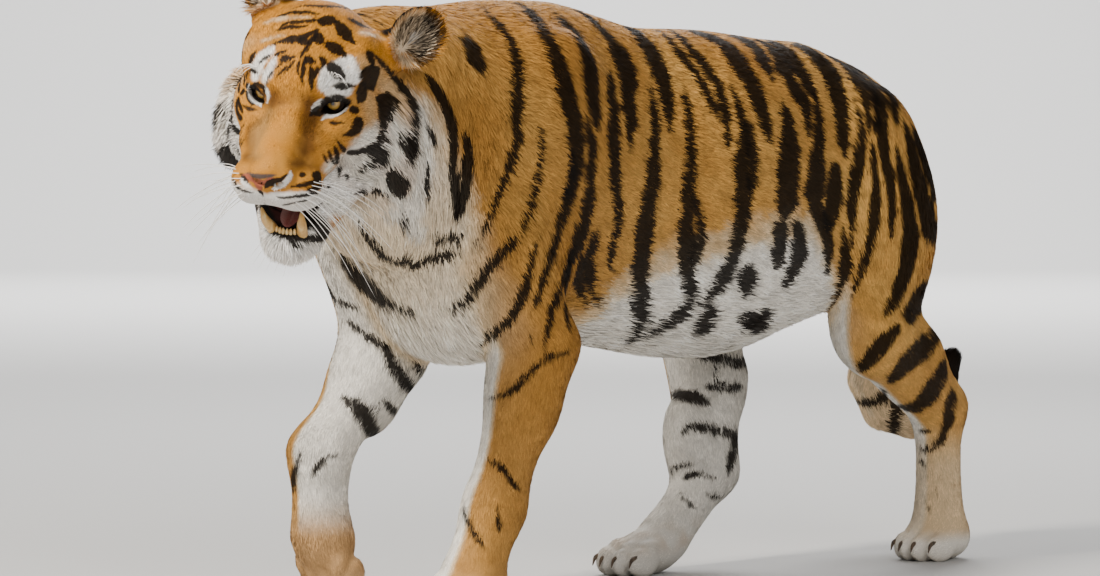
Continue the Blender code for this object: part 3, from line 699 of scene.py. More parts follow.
FLANK_BARS = [
    ((9, 19, 5), (-15.6, 94.5), (-13.4, 89), (-13.8, 85.5), (-15.4, 81.4), (-17, 73.6)),
    ((8, 10, 3), (-18.9, 86.8), (-21, 79), (-21.5, 70), (-19.9, 63.8), (-19.8, 55.5),
        (-16.8, 53.5)),
    ((20, 20, 5), (-3.3, 95.3), (-3.5, 90), (-3.2, 87), (-5.5, 77)),
    ((5, 14, 15), (-7.2, 85), (-10.4, 74), (-12.2, 63), (-12, 59), (-10, 50.7), (-7.6, 46),
        (-6.2, 42)),
    ((11, 12, 5), (8.7, 94.4), (7.6, 92), (8.4, 87.5), (9, 84.4), (7.2, 74)),
    ((5, 10, 7), (5.1, 95), (4.1, 91), (5.4, 86), (6.5, 79)),
    ((5, 13, 10), (1, 85), (-1, 75.6), (-2.2, 65.6), (-1, 57), (2, 49.4), (1, 46.7), (-4, 43)),
    ((5, 9, 9), (-0.9, 66.3), (1.5, 60), (1.4, 54.5)),
    ((17, 20, 6), (13.9, 94.9), (17, 92), (17.4, 84.7), (17.6, 78), (18, 75)),
    ((5, 14, 9), (11.9, 85), (11.6, 78), (9.6, 71), (10.4, 64), (9.1, 53), (5, 48)),
    ((8, 10, 9), (12.7, 79), (12.9, 73), (11.9, 67)),
    ((12, 16, 12), (7.8, 47.6), (6.4, 43)),
    ((9, 15, 8), (14.5, 54.3), (14.5, 49)),
    ((6, 14, 8), (15.3, 45.5), (19.3, 45.2), (23, 46.5)),
    ((6, 14, 8), (18.4, 43.6), (24.6, 44)),
    ((8, 24, 10), (25.3, 94.6), (26, 92), (25, 88.6), (24.5, 86)),
    ((6, 19, 19), (24.7, 82.5), (23.5, 75), (22, 70), (21.5, 63)),
    ((14, 14, 10), (20.5, 61.7), (21.2, 53.8)),
    ((8, 15, 8), (24.3, 62), (27, 57), (24.5, 50)),
    ((22, 21, 12), (35.2, 93.8), (35, 88), (35.6, 83.4)),
    ((9, 16, 6), (30.7, 90.6), (29.8, 87), (31.6, 82), (30, 76)),
    ((6, 17, 9), (36.4, 84), (33.6, 76.7), (31, 68.4), (31, 65), (36.3, 58.3), (36.5, 52.8)),
    ((20, 20, 9), (41.2, 93.4), (43.3, 89), (43, 85), (41.5, 77.5), (41.3, 73)),
    ((8, 18, 12), (38.4, 72), (38, 66), (35.9, 60)),
    ((4, 16, 6), (48.7, 91.5), (51.8, 89), (49.6, 84.7), (47.2, 77.5)),
    ((4, 12, 4), (46.3, 83), (45, 75), (43.2, 67), (43.3, 57)),
    ((4, 12, 4), (41.4, 61.4), (42, 53), (41, 44.6)),
    ((4, 12, 5), (55.4, 89.7), (52.5, 86), (48.7, 77)),
    ((5, 12, 6), (57.5, 88.6), (53, 84), (50.2, 75), (51, 66), (50.8, 59)),
    ((6, 11, 4), (47.6, 75.4), (47.5, 65), (46, 56), (43.7, 47.8)),
    ((5, 16, 9), (53.2, 75), (54.4, 66.6), (55.6, 58.8), (53.8, 51), (46.5, 45)),
    ((14, 9, 6), (58, 85.5), (55.5, 81), (55, 78.4)),
    ((6, 13, 20), (57.7, 79.7), (58.3, 70), (61.7, 61.6), (64.7, 58)),
    ((8, 13, 10), (60.7, 78.4), (64.2, 68.6), (64.6, 65)),
]
NAPE_BARS = [
    ((2, 5, 2), (-7, -72), (-3, -70), (0, -69.5), (4, -70.5), (7, -72)),
    ((2, 6, 2), (-8, -65), (-4, -63.5), (-1, -63), (2, -64)),
    ((2, 6, 2), (-9, -58), (-5, -56), (-1, -55), (3, -55.5)),
    ((2, 7, 3), (-9, -50), (-5, -48), (-1, -47)),
    ((2, 6, 2), (-8, -41), (-4, -40), (0, -39.5)),
]
LEG_BARS = [
    ((18, 22, 14), (57.7, 54), (55.5, 48.5), (50.7, 44)),  # left thigh and shin
    ((9, 15, 10), (49.2, 43.3), (45.5, 39.6), (42.2, 35.4)),
    ((9, 20, 10), (58.6, 43), (56, 40), (51.5, 37), (48, 33)),
    ((9, 17, 8), (59.2, 36.5), (57.3, 32.5), (54, 28.5), (50.5, 28)),
    ((11, 8, 5), (60.7, 31), (60.2, 25), (58.5, 21), (55, 20)),
    ((3, 5, 3), (54.5, 23.6), (57.4, 23.4)),
    ((4, 4, 2), (55, 18.5), (56.8, 17)),
    ((2, 3, 3), (58.3, 13.2), (58.7, 11.5)),
    ((3, 4, 4), (56.3, 12.2), (56.6, 10.4)),
    ((4, 5, 4), (57, 9.9), (57.5, 8.5)),
    ((3, 5, 5), (-25, 34), (-21, 35.6), (-16, 40.4), (-12, 41.5)),  # left forearm
    ((3, 5, 5), (-25, 24.5), (-22.6, 22.8), (-20.2, 19.7)),
    ((5, 5, 4), (-28.8, 17), (-28.4, 14.8), (-27, 12.5), (-25.7, 10.5)),
    ((2, 3, 2), (-23.6, 17), (-23.3, 13)),
    ((6, 10, 5), (-41.7, 42.5), (-39.4, 38), (-36.6, 34), (-35.4, 32)),  # right forearm, inner face
    ((4, 8, 5), (-37, 39.5), (-34.9, 37.2), (-33.4, 34.5)),
    ((5, 13, 8), (-48.5, 34), (-45.7, 32.2), (-43.5, 28.5), (-43, 24)),
    ((4, 9, 6), (-41.4, 33.3), (-39.6, 30.5), (-39.5, 27), (-41, 25)),
    ((3, 4, 2), (-48.8, 25.1), (-51.5, 24.2), (-53.6, 20.9)),
    ((3, 6, 4), (-54.9, 25.6), (-56, 22), (-56.2, 19)),
    ((7, 10, 9), (13, 38.5), (18.3, 37.2), (24, 35.8)),  # right hind leg, inner face
    ((5, 9, 6), (15.6, 32.3), (19, 32.1), (23, 32)),
    ((9, 11, 6), (10, 30.6), (13.7, 30.4), (16.5, 29)),
    ((4, 9, 7), (11.4, 24.2), (13, 25.4), (18.3, 24.3), (22.5, 23)),
    ((9, 9, 4), (22, 23), (20.7, 20.5), (19.7, 16.5)),
    ((3, 4, 2), (9.5, 17.2), (10.6, 18.3), (13.8, 18.9)),
    ((3, 6, 4), (11.7, 15.9), (13.5, 17), (17.3, 16.1)),
    ((2, 4, 3), (10.9, 13.4), (13.5, 11.1)),
    ((3, 4, 3), (15.6, 13.2), (18.5, 12.6)),
    ((4, 4, 3), (15, 10.7), (15.8, 9.8)),
]
# Seen from the head's left front, as the portrait view has it.
CROWN_BLACKS = [  # brow and crown
    ((1, 2.5, 1), (-1.5, 13.6), (0.2, 14.2), (2.5, 14.2), (4.8, 14.2), (7.1, 14.1), (8.9, 13.6),
     (10.4, 13), (11.8, 12.3), (13, 11.2)),
    ((1, 3, 1), (-3.5, 12.6), (-2.1, 12.9), (-1, 13.2), (0.2, 13.1), (1.3, 13.2), (2.3, 12.9),
        (3.3, 12.9)),
    ((1, 2.5, 2), (-2.8, 10.7), (-2.2, 11.2), (-1.3, 11.5), (0.2, 11.6), (1.7, 11.7), (3.3, 11.9)),
    ((1, 2.5, 1), (-3.6, 10.1), (-2.4, 10.5), (-1, 10.7), (0.2, 10.7), (1.7, 11)),
    ((4.5, 6.5, 4.5), (3.3, 11.5), (4.5, 11.8), (5.7, 11.8)),
    ((3, 7.5, 2.5), (5.7, 11.8), (6.5, 10.7), (7.2, 9.8), (8, 8.9), (8.8, 8.1)),
    ((1, 4, 1), (7.2, 12.4), (8.3, 11.9), (9.5, 11.3), (10.6, 11), (11.5, 10.7)),
    ((1.5, 2, 2), (3.3, 10.4), (2.7, 9.5), (2, 8.6), (1.6, 7.7), (1, 6.8), (0.5, 5.8)),
    ((1, 1.5, 1), (3.3, 10), (2.7, 9), (2, 7.8), (1.6, 6.8)),
    ((1, 5, 2), (-4.2, 7.8), (-2.8, 8.4), (-1.6, 8.6), (-0.2, 8.8), (0.8, 9), (2, 9.7),
        (3.1, 10.4)),
    ((3, 5.5, 3), (0.5, 8.6), (1.1, 8.4), (1.7, 8.3)),
    ((3, 6.5, 3), (3.4, 9.5), (3.3, 8.7), (3.7, 8.1)),
    ((2.5, 7.5, 2.5), (4.2, 8.1), (5.2, 7.6), (6.3, 7), (7.5, 6.1)),
    ((1, 1.5, 1), (0.5, 5.5), (0.2, 4.3), (0.4, 3.1)),
    ((1, 2.5, 1), (1.3, 6.1), (1.1, 4.9), (1, 3.7), (0.8, 2.5), (1.1, 1.4)),
    ((2.5, 5, 3), (1.4, 5.4), (2, 5.5), (2.8, 5.1)),
    ((1.5, 4.5, 1.5), (3.3, 6), (4, 5.5), (4, 4.9), (3.5, 4)),
    ((2, 4, 1.5), (2.2, 4.6), (2.3, 3.4), (2.2, 2.2), (2.3, 0.8)),
    ((1.5, 2.5, 1.5), (3.1, 4.6), (3.1, 3.7), (2.8, 2.8)),
    ((1.5, 4.5, 1), (-2.7, 5.2), (-1.9, 5.7), (-1, 5.8), (-0.1, 6.1)),
    ((1, 2.5, 1), (-3.5, 6.1), (-2.7, 6.6), (-1.6, 6.9)),
    ((1, 2.5, 1), (-5.9, 5.2), (-5.1, 5.8), (-4.4, 6.2), (-3.8, 6.5)),
    ((1, 1.5, 1), (-2.2, 5.1), (-3.5, 4), (-4.4, 2.8), (-4.8, 1.6)),
    ((1, 1.5, 0.5), (-1.3, 4.6), (-2.2, 3.9), (-3.2, 2.9)),
    ((1, 1.5, 0.5), (-0.2, 5.5), (-1, 4.5), (-1.9, 3.4)),
    ((5, 7, 3.5), (4.8, 4.9), (5.9, 3.9), (7.2, 2.6)),
    ((1.5, 4, 3), (5.2, 1.6), (6.3, 1.6), (7.5, 1.7), (8.6, 1.7)),
]
CHEEK_BLACKS = [  # cheek and collar, drawn again on the right
    ((2.5, 6, 4.5), (9.7, 2.3), (9.7, 1.3), (9.5, 0), (9.1, -0.7)),
    ((3, 4.5, 4), (8, -1.6), (8.6, -1.8), (8.9, -1.8)),
    ((5.5, 3, 4), (10.7, 6.9), (11.1, 6.1), (11.2, 4.9)),
    ((9, 13, 7.5), (11.1, 3.9), (11.2, 2.8), (11.1, 2.2)),
    ((2, 5.5, 2.5), (11.5, 6.6), (13.2, 4.9), (14.9, 2.9), (16.1, 1), (16.9, -1), (16.9, -3.3),
     (16.7, -5.6), (16.5, -7.9), (16.5, -9.9)),
    ((4.5, 10.5, 4.5), (15.3, -5.6), (15.9, -6.1), (16.4, -7.3), (16.5, -8.5)),
    ((12, 7.5, 4), (13.2, 0), (12.9, -1.5), (12.7, -3.3), (12.6, -4.8)),
    ((4, 3.5, 2), (12.6, -4.5), (12, -6.4), (10.6, -7.6), (8.9, -8.1), (7.4, -8.2), (6.5, -7.3),
     (5.9, -6.5)),
    ((3, 9, 4.5), (12.1, -7.9), (11.8, -8.8), (11.1, -9.7)),
    ((3, 2, 1.5), (11.4, -9.6), (10, -10.2), (9.1, -11.1), (8.6, -12.5)),
    ((6, 12, 4.5), (14.1, -11), (14.6, -12.2), (14.7, -13.6), (14.9, -14.6)),
    ((1.5, 4, 1.5), (8.1, -14.6), (9.4, -14), (10.6, -13.9), (12.1, -14), (13.5, -14.9)),
    ((1, 2, 1), (4.8, -3.8), (6, -3.9), (7.4, -3.8)),
    ((4.5, 6, 3), (9.2, -3.2), (8.9, -4.4), (8, -5.5), (6.9, -5.8)),
    ((1.5, 2, 1.5), (4.8, -8.2), (5.2, -9.4), (5.9, -10.7)),
    ((2, 3, 2), (5.7, -7.6), (6, -8.8), (5.9, -9.9), (6, -11), (5.9, -11.9)),
    ((1.5, 2, 1.5), (4, -8.7), (4.6, -10)),
    ((1, 2, 1), (6.6, -11.6), (7.2, -11.9), (6.9, -12.5)),
    ((4.5, 5.5, 6), (8.8, -19.2), (10.1, -21), (11.8, -23.2), (14, -24.2), (15.6, -23.9),
        (17.2, -24.9),
     (19.1, -23.9), (21.6, -23.6), (23.9, -23.2)),
    ((3, 4.5, 6), (19.8, -21), (21.6, -20.6), (23.1, -20.3), (24.3, -21.2)),
    ((1.5, 3, 1.5), (18.7, -3), (19.8, -4.8), (20.2, -6.7)),
    ((1.5, 2.5, 1.5), (19.1, -9.1), (19, -11.9), (19, -14), (19.4, -16.3)),
    ((1.5, 3.5, 1.5), (15.8, -17.4), (15.2, -18.9), (15, -20.4)),
    ((6, 5, 4.5), (19.1, 4.3), (20.7, 1.9), (22, -0.6), (22.8, -3), (23.1, -6.4), (23.1, -10.2),
     (23.4, -14), (23.6, -18)),
    ((4.5, 7, 4.5), (24.9, -4.5), (25.3, -7.1), (25.1, -10.2), (24.5, -14), (23.9, -17.8)),
]
FAR_MARKS = [  # the far temple
    ((2.5, 3.5, 1.5), (-7.4, 5.1), (-7.1, 6.1), (-6.4, 7.2)),
    ((1.5, 2, 1.5), (-8.3, 2.3), (-8, 3.1), (-7.7, 3.9)),
    ((1.5, 2.5, 1.5), (-7.6, 4.3), (-6.7, 4), (-6.1, 3.7)),
    ((2.5, 3, 2.5), (-9.4, 1), (-9.4, 2.5), (-9, 4.3)),
    ((1.5, 2.5, 1.5), (-8.6, 1.4), (-8, 1), (-7.7, 0), (-7.1, -0.9), (-6.5, -1)),
    ((1, 2.5, 2), (-9.4, 0.3), (-9.1, -1), (-8.5, -2.3)),
]
BROW_WHITES = [
    ((9, 17, 7.5), (4.2, 1.3), (4.9, 3.1), (6.6, 4.6), (8.1, 6.1)),
    ((9, 15.5, 12), (5.1, 2.2), (6.9, 2.8), (8.5, 3.7)),
    ((6, 11.5, 7.5), (4.5, 0.6), (6.6, 0.8), (8.1, 1.1)),
    ((7.5, 9, 7.5), (7.8, 5.8), (8.8, 4), (8.8, 2.2)),
    ((6, 11.5, 6), (-6.4, 2.8), (-6.1, 4.5), (-5, 6.3), (-3.5, 7.7)),
    ((6, 9.5, 6), (-5.1, 2.3), (-4.4, 4), (-3.4, 5.6)),
]
CROWN_CREAMS = [
    ((3, 6, 4), (9.1, 10.1), (10.9, 9.8), (13, 9.4)),
    ((2.5, 3.5, 1.5), (-5.6, 11.6), (-2.8, 12.2), (-0.1, 12.3), (2, 12.3)),
    ((2.5, 4, 1.5), (-5.6, 8.6), (-4.1, 9), (-1.9, 9.5)),
]
CHEEK_WHITES = [
    ((4.5, 10.5, 6), (8.1, -6.8), (9.8, -6.1), (11.4, -4.8), (11.7, -3.6)),
    ((7.5, 11.5, 9), (14.3, -1.5), (14.4, -4.1), (14.1, -7.1), (14, -10.2)),
    ((4.5, 7.5, 6), (7.1, -9.4), (8.8, -9.1), (10.3, -8.7)),
    ((9, 13.5, 12), (7.8, -11.3), (10.3, -11.6), (12.7, -13.1), (15.5, -15.5)),
    ((7.5, 13.5, 13.5), (17.6, -0.3), (18.4, -4.8), (18.5, -9.4), (17.8, -14), (16.7, -17.8)),
    ((9, 13.5, 13.5), (13.2, -17.4), (15.5, -17.7), (17.6, -20.1)),
    ((4.5, 7, 4.5), (4.3, -11.3), (5.2, -10.2), (6.5, -9.1)),
    ((9, 13, 10), (4.6, -15.3), (6.4, -16.6), (9, -18.3)),
]
PAD_WHITES = [
    ((4, 6, 6), (-7.4, -14.6), (-4.8, -15.2), (-2.2, -15), (0.8, -15), (3.6, -14.9)),
]
CHEEK_TANS = [
    ((8, 11, 7), (13.4, 3.4), (15, 0.4), (15.2, -3)),
    ((10.5, 15.5, 10.5), (9.7, 5.5), (12.4, 3.1), (14.6, 0.3)),
    ((9, 12, 7.5), (10.3, 1), (10.9, -1.5), (11.1, -3.9)),
]
LID_BLACKS = [
    ((1.5, 4.5, 4.5), (1.9, -2.9), (3, -1.8), (4, -1.3)),
    ((4, 4.5, 4), (3.6, -1.2), (4.6, -0.3), (6, 0), (7.2, -0.3), (8.1, -0.9)),
    ((4.5, 5.5, 4), (2.8, -2.7), (4.2, -2.2), (5.7, -2.1), (6.9, -1.6), (7.8, -0.9)),
    ((3, 3.5, 3), (-7.1, 1.9), (-6.1, 2.1), (-5.1, 1.4), (-5, 0.5)),
    ((3, 4, 3), (-7.1, 1.7), (-6.8, 0.5), (-6.1, -0.3), (-5, -0.3)),
]
LID_WHITES = [
    ((2.5, 2.5, 2.5), (3.6, -3.5), (4.2, -2.9), (5.2, -2.8), (6.5, -2.3), (7.7, -1.3)),
    ((4, 5, 2.5), (2.3, -2.1), (3.3, -1), (4.3, -0.3)),
    ((3.5, 4, 2.5), (-7.6, 1.9), (-7.4, 0.8), (-6.8, -0.3), (-5.9, -0.9), (-5.6, -1.3)),
    ((2, 2.5, 1.5), (-4.8, 1.6), (-4.4, 0.3), (-4.7, -0.9)),
]
NOSE_PINKS = [
    ((2, 4.5, 5.5), (-7.9, -11.8), (-7.1, -12.3), (-6.1, -12.9)),
    ((4.5, 6.5, 4), (-6.1, -13), (-5.1, -13.2), (-4.4, -13)),
    ((4, 2.5, 1.5), (-4.4, -12.9), (-3.5, -12.6), (-2.7, -12.6)),
    ((6, 4.5, 3), (-5.6, -13.2), (-5.3, -13.9), (-5.1, -14.2)),
]
# Dark grey along the top of the nose leather: a painted reflection of the sky on the wet leather,
# with painted shade.
NOSE_GLEAM_AND_SHADE = [
    ((2.5, 3.5, 2), (-7.3, -11.7), (-5.9, -12.1), (-4.4, -12.2), (-2.7, -12)),
]
# Black in the nostrils and down the groove under the nose: painted shade in these hollows.
NOSTRIL_SHADOWS = [
    ((2.5, 4.5, 2), (-4.5, -13.9), (-3.9, -13.3), (-3, -13.1), (-1.9, -12.6), (-1.1, -11.9)),
    ((1.5, 2.5, 1.5), (-8.3, -11.8), (-7.6, -12.6), (-6.8, -13.4)),
    ((2, 2, 1), (-5.6, -14.3), (-5, -14.7), (-4.8, -15.4)),
    ((1, 1, 1), (-4.8, -15.4), (-4.8, -16.1)),
]
NOSTRIL_RIMS = [
    ((2.5, 5, 2.5), (-3.5, -14.1), (-2.1, -13.6), (-1.2, -12.9), (-0.6, -12), (-0.7, -11.4)),
    ((2, 5, 3), (-8.2, -12.2), (-7.6, -13.2), (-6.5, -14)),
]
# Painted shade in the hollow of each ear's cup.
EAR_CUP_SHADOWS = [  # the dark of the cup
    ((4.5, 8.5, 6), (14.7, 6.3), (16.1, 6.1), (17.3, 6.3), (18.4, 6.6)),
    ((3, 7.5, 4.5), (18.8, 9.5), (19.1, 8.6), (18.5, 7.7)),
    ((1.5, 3, 1.5), (15.3, 10.7), (17, 11), (18.5, 10.4)),
]
PAD_ROWS = [  # whisker rows and chin spots
    ((2.5, 3, 2.5), (0.9, -11.9), (1.1, -11.9), (1.4, -11.9)),
    ((4, 5, 3), (2.8, -11.9), (3.3, -12), (3.7, -12.3)),
    ((1, 3, 2), (-0.9, -13.9), (0.4, -13.6), (1.6, -13.4), (3, -12.9), (4.2, -12.6)),
    ((2, 3, 2), (1.7, -14.2), (2.7, -14), (3.7, -13.6), (4.9, -13.2)),
    ((1, 2, 1.5), (-2.8, -15.2), (-1.6, -15.4), (-0.4, -15.2), (1, -15.1), (2.3, -14.8),
        (4, -14.5)),
    ((1, 1, 1), (-2.1, -16.5), (-0.9, -16.3), (0.5, -16), (2, -15.7)),
    ((1, 1.5, 1), (-9.3, -13.4), (-8.5, -14), (-7.4, -14.4), (-6.4, -14.6)),
    ((1, 1.5, 1), (-9.9, -12), (-9.3, -12.9), (-8.8, -13.6)),
    ((1, 1.5, 1), (-1.2, -22), (-0.7, -22), (-0.2, -22.1)),
    ((1.5, 2.5, 1.5), (-0.7, -22.6), (-0.4, -22.7), (-0.1, -22.7)),
    ((1.5, 2, 1.5), (0.2, -22.5), (0.4, -22.6), (0.7, -22.6)),
]
LIP_BLACKS = [
    ((7.5, 13.5, 9), (2, -17.7), (3.3, -19.5), (4, -21.3)),
    ((3.5, 6.5, 7.5), (-4.7, -20.3), (-3.3, -20.7), (-1.2, -21.1), (1, -21.3), (3.6, -21.6)),
    ((1.5, 2, 1.5), (-6.4, -16.7), (-5.4, -16.5), (-4.7, -16.3), (-3.6, -16.9), (-2.4, -17.4),
     (-1, -17.8), (0.2, -17.7), (1.6, -17.2), (3, -16.5)),
]
# Dark brown down each side of the bridge of the nose and above the nose: partly the fur's own brown,
# partly painted shade on the side of the bridge.
NOSE_BROWNS_AND_SHADE = [
    ((9, 13.5, 10.5), (1.6, -0.3), (2, -3), (2, -6.4), (1.4, -9.1)),
    ((4.5, 7.5, 4.5), (-1, -10.3), (0.8, -10.3), (3, -10.7)),
]
# Pale gold on the far side of the bridge of the nose: painted light, that side paler as if in
# sunlight.
NOSE_LIT_SIDE_PALES = [
    ((9, 13.5, 10.5), (-4.1, -1.8), (-5.6, -5.6), (-6.2, -9.4)),
]


def curve_through(places, step):
    """Points no further apart than step, on a smooth curve through the places."""
    places = np.array(places, float)
    ends = np.vstack([2 * places[0] - places[1], places, 2 * places[-1] - places[-2]])
    found = []
    for n in range(len(places) - 1):
        before, start, stop, after = ends[n : n + 4]
        count = max(2, int(np.linalg.norm(stop - start) / step) + 1)
        for t in np.linspace(0, 1, count, endpoint=n == len(places) - 2):
            found.append(
                0.5
                * (
                    2 * start
                    + (stop - before) * t
                    + (2 * before - 5 * start + 4 * stop - after) * t**2
                    + (3 * start - before - 3 * stop + after) * t**3
                )
            )
    return np.array(found)


def half_widths(widths, count):
    """Pointed at both ends, full through the middle."""
    share = np.linspace(0, 1, count)
    width = np.interp(share, (0, 0.08, 0.5, 0.92, 1), np.array([0.4, 1, 1, 1, 0.4]))
    return width * np.interp(share, (0, 0.5, 1), widths) * MILLI


def traced(view, widths, places, flip=False, warp=0.0):
    """(points on the skin, half widths) of a stroke seen in a view, or of its mirror image."""
    of_head = VIEWS[view][0]
    sideways, upward, look, flat = np.array([*VIEWS[view][1:], (-1, 1, 1)], float)
    places = [(u + warp * math.sin(0.21 * v + u), v + warp * math.cos(0.17 * u)) for u, v in places]
    line = curve_through(places, 0.6 if of_head else 1.0) * CENTI
    points, kept = [], []
    for n, (u, v) in enumerate(line):
        start = sideways * u + upward * v - look * (0.6 if of_head else 1.4)
        toward = look
        if flip:
            start, toward = start * flat, toward * flat
        if of_head:
            start, toward = HEAD_ROTATION @ start + HEAD_AT, HEAD_ROTATION @ toward
        hit = SKIN_TREE.ray_cast(Vector(start), Vector(toward))[0]
        if hit is not None:
            points.append(tuple(hit))
            kept.append(n)
    return np.array(points), half_widths(widths,
        len(line))[kept], np.array(LEFT_FRONT) * (flat if flip else 1)


def hoop(middle, along, start, stop, widths, slant=0.0):
    """A stroke round a limb, from one angle to another about `along`; 0 is to the left (+X)."""
    along = np.array(along, float) / np.linalg.norm(along)
    right = np.cross(along, (0, 1, 0)) if abs(along[1]) < 0.8 else np.cross(along, (0, 0, 1))
    right /= np.linalg.norm(right)
    right = right * (1 if right[0] > 0 else -1)
    back = np.cross(along, right)
    back = back * (1 if back[1] > 0 else -1)
    points, kept = [], []
    angles = np.radians(np.linspace(start, stop, 24))
    for n, angle in enumerate(angles):
        toward = right * math.cos(angle) + back * math.sin(angle)
        lift = along * slant * (n / 23 - 0.5)
        hit = SKIN_TREE.ray_cast(Vector(np.array(middle) + lift), Vector(toward), 0.16)[0]
        if hit is not None:
            points.append(tuple(hit))
            kept.append(n)
    return np.array(points), half_widths(widths, 24)[kept], None


def from_lists(view, strokes, flip=False, warp=0.0):
    return [traced(view, widths, places, flip, warp) for widths, *places in strokes]


def inked(strokes, shade, soft=0.0018, wide=1.0, strength=0.97):
    """The strokes with the colour they paint, how soft their edges are and how much they cover."""
    return [(line, half * wide, seen, shade, soft, strength) for line, half,
        seen in strokes if len(line) > 1]


def over_ridge(strokes):
    """The strokes that start high on the back, carried on to its ridge."""
    found = []
    for widths, *places in strokes:
        (u, v), (after, below) = places[:2]
        if v > RIDGE_BARS_FROM:
            lean = (u - after) / (v - below) * (RIDGE_TOP - v)
            places = [(u + max(-3, min(3, lean)), RIDGE_TOP), *places]
        found.append((widths, *places))
    return found


def high_width(line):
    """Strokes narrow towards the ridge of the back, where they are seen along the skin."""
    return 1.12 - 0.52 * smooth(line[:, 2], 0.80, 0.97)


def coloured_strokes():
    """Every stroke on the body and head, in the order they are painted."""
    found = from_lists("quarter", NECK_BARS) + from_lists("quarter", NECK_BARS[1:], True, 0.9)
    found += [(line, half, None) for line, half, _ in from_lists("top", NAPE_BARS)]
    found += from_lists("front", CHEST_BARS)
    found += from_lists("side", over_ridge(FLANK_BARS)) + from_lists("side",
        over_ridge(FLANK_BARS), True, 1.2)
    found += from_lists("quarter", LEG_BARS)
    found += limb_hoops()

    found = [(line, half * high_width(line), seen) for line, half, seen in found if len(line) > 1]

    def face(strokes, shade, *soft, both=False, warp=0.0):
        marks = from_lists("portrait", strokes)
        return inked(marks + (from_lists("portrait", strokes, True, warp) if both else []), shade,
            *soft)

    return (
        inked(found, BLACK, 0.0030)
        + face(CROWN_CREAMS, CREAM, 0.0040, 1.0, 0.75)
        + face(BROW_WHITES, SNOW, 0.0030)
        + face(CHEEK_WHITES, CHEEK_WHITE, 0.0060, both=True)
        + face(CHEEK_TANS, (0.56, 0.36, 0.17), 0.0120, 1.0, 0.7, both=True)
        + face(PAD_WHITES, SNOW, 0.0030)
        # dark brown beside the bridge: partly the fur's own brown, partly painted shade
        + face(NOSE_BROWNS_AND_SHADE, (0.085, 0.032, 0.007), 0.0120, 1.35, 0.85, both=True)
        # pale gold on the far side of the bridge: painted light
        + face(NOSE_LIT_SIDE_PALES, (0.62, 0.34, 0.10), 0.0100, 0.8, 0.5)
        + face(CROWN_BLACKS, BLACK, 0.0010, 1.45)
        + face(CHEEK_BLACKS, BLACK, 0.0014, 1.5, both=True, warp=0.2)
        + face(FAR_MARKS, BLACK, 0.0010, 1.35)
        + face(PAD_ROWS, BLACK, 0.0007, 1.5)
        # painted shade in the ear's cup
        + face(EAR_CUP_SHADOWS, (0.13, 0.095, 0.065), 0.0050, 0.7, 0.35)
        + face(LID_WHITES, SNOW, 0.0008)
        + face(LID_BLACKS, BLACK, 0.0008)
        + face(NOSTRIL_RIMS, SNOW, 0.0010)
        # dark grey top of the nose leather: painted reflection and painted shade
        + face(NOSE_GLEAM_AND_SHADE, (0.085, 0.065, 0.060), 0.0014, 1.1)
        + face(NOSE_PINKS, (0.36, 0.105, 0.060), 0.0008)
        # black nostrils and groove: painted shade
        + face(NOSTRIL_SHADOWS, BLACK, 0.0007, 1.4)
        + face(LIP_BLACKS[:1], BLACK, 0.0020, both=True)
        + face(LIP_BLACKS[1:], BLACK, 0.0012)
    )


def limb_hoops():
    """Bars on the sides of the legs that no list holds, and round the tail."""
    found = []
    for height, width in ((0.46, 9), (0.41, 8), (0.355, 9), (0.30, 7), (0.245, 6)):
        reach = 62 + 9 * math.sin(90 * height)
        middle = (-0.130, -0.470 - 0.55 * max(0.40 - height, 0), height)
        found.append(hoop(middle, (0, -0.3, -1), 180 - reach, 180 + reach * 0.6, (3, width, 3),
            0.03))
    for height, width in ((0.50, 13), (0.44, 12), (0.385, 11), (0.33, 10), (0.275, 9), (0.225, 7),
        (0.17, 5)):
        middle = (-0.122, 0.40 - 0.12 * (height < 0.3) * (0.3 - height) * 5, height)
        reach = 60 + 10 * math.sin(70 * height)
        found.append(hoop(middle, (0, -0.1, -1), 180 - reach, 180 + reach, (4, width, 4), 0.04))
    for height, width in ((0.50, 10), (0.44, 9), (0.38, 9), (0.31, 8), (0.24, 6)):
        middle = (0.120, 0.50 + 0.55 * max(0.42 - height, 0), height)
        found.append(hoop(middle, (0, 0.4, -1), 130, 235, (3, width, 3), -0.03))
    for height, width in ((0.36, 6), (0.29, 6), (0.22, 5)):
        middle = (0.118, -0.40 - 0.25 * max(0.40 - height, 0), height)
        found.append(hoop(middle, (0, -0.2, -1), 60, 150, (3, width, 3), 0.02))
    line = np.array(TAIL_LINE)[:, :3]
    places = curve_through(line, 0.004)
    run = np.concatenate([[0], np.cumsum(np.linalg.norm(np.diff(places, axis=0), axis=1))])
    for n, at in enumerate(np.arange(0.06, run[-1] - 0.14, 0.068)):
        k = int(np.searchsorted(run, at))
        along = places[min(k + 3, len(places) - 1)] - places[k - 3]
        found.append(hoop(places[k], along, -175, 175, (7, 11 + 4 * math.sin(2.3 * n), 8), 0.012))
    return found


def value_noise(points, size, seed):
    """Smooth noise from -1 to 1 that changes over about `size`."""
    scaled = points / size
    corner = np.floor(scaled)
    part = scaled - corner
    part = part * part * (3 - 2 * part)
    total = np.zeros(len(points))
    for dx in (0, 1):
        for dy in (0, 1):
            for dz in (0, 1):
                at = corner + (dx, dy, dz)
                value = np.sin(at @ np.array([127.1, 311.7, 74.7]) + seed * 19.19) * 43758.5453
                weight = np.abs(1 - dx - part[:, 0]) * np.abs(1 - dy - part[:,
                    1]) * np.abs(1 - dz - part[:, 2])
                total += weight * (value - np.floor(value))
    return 2 * total - 1


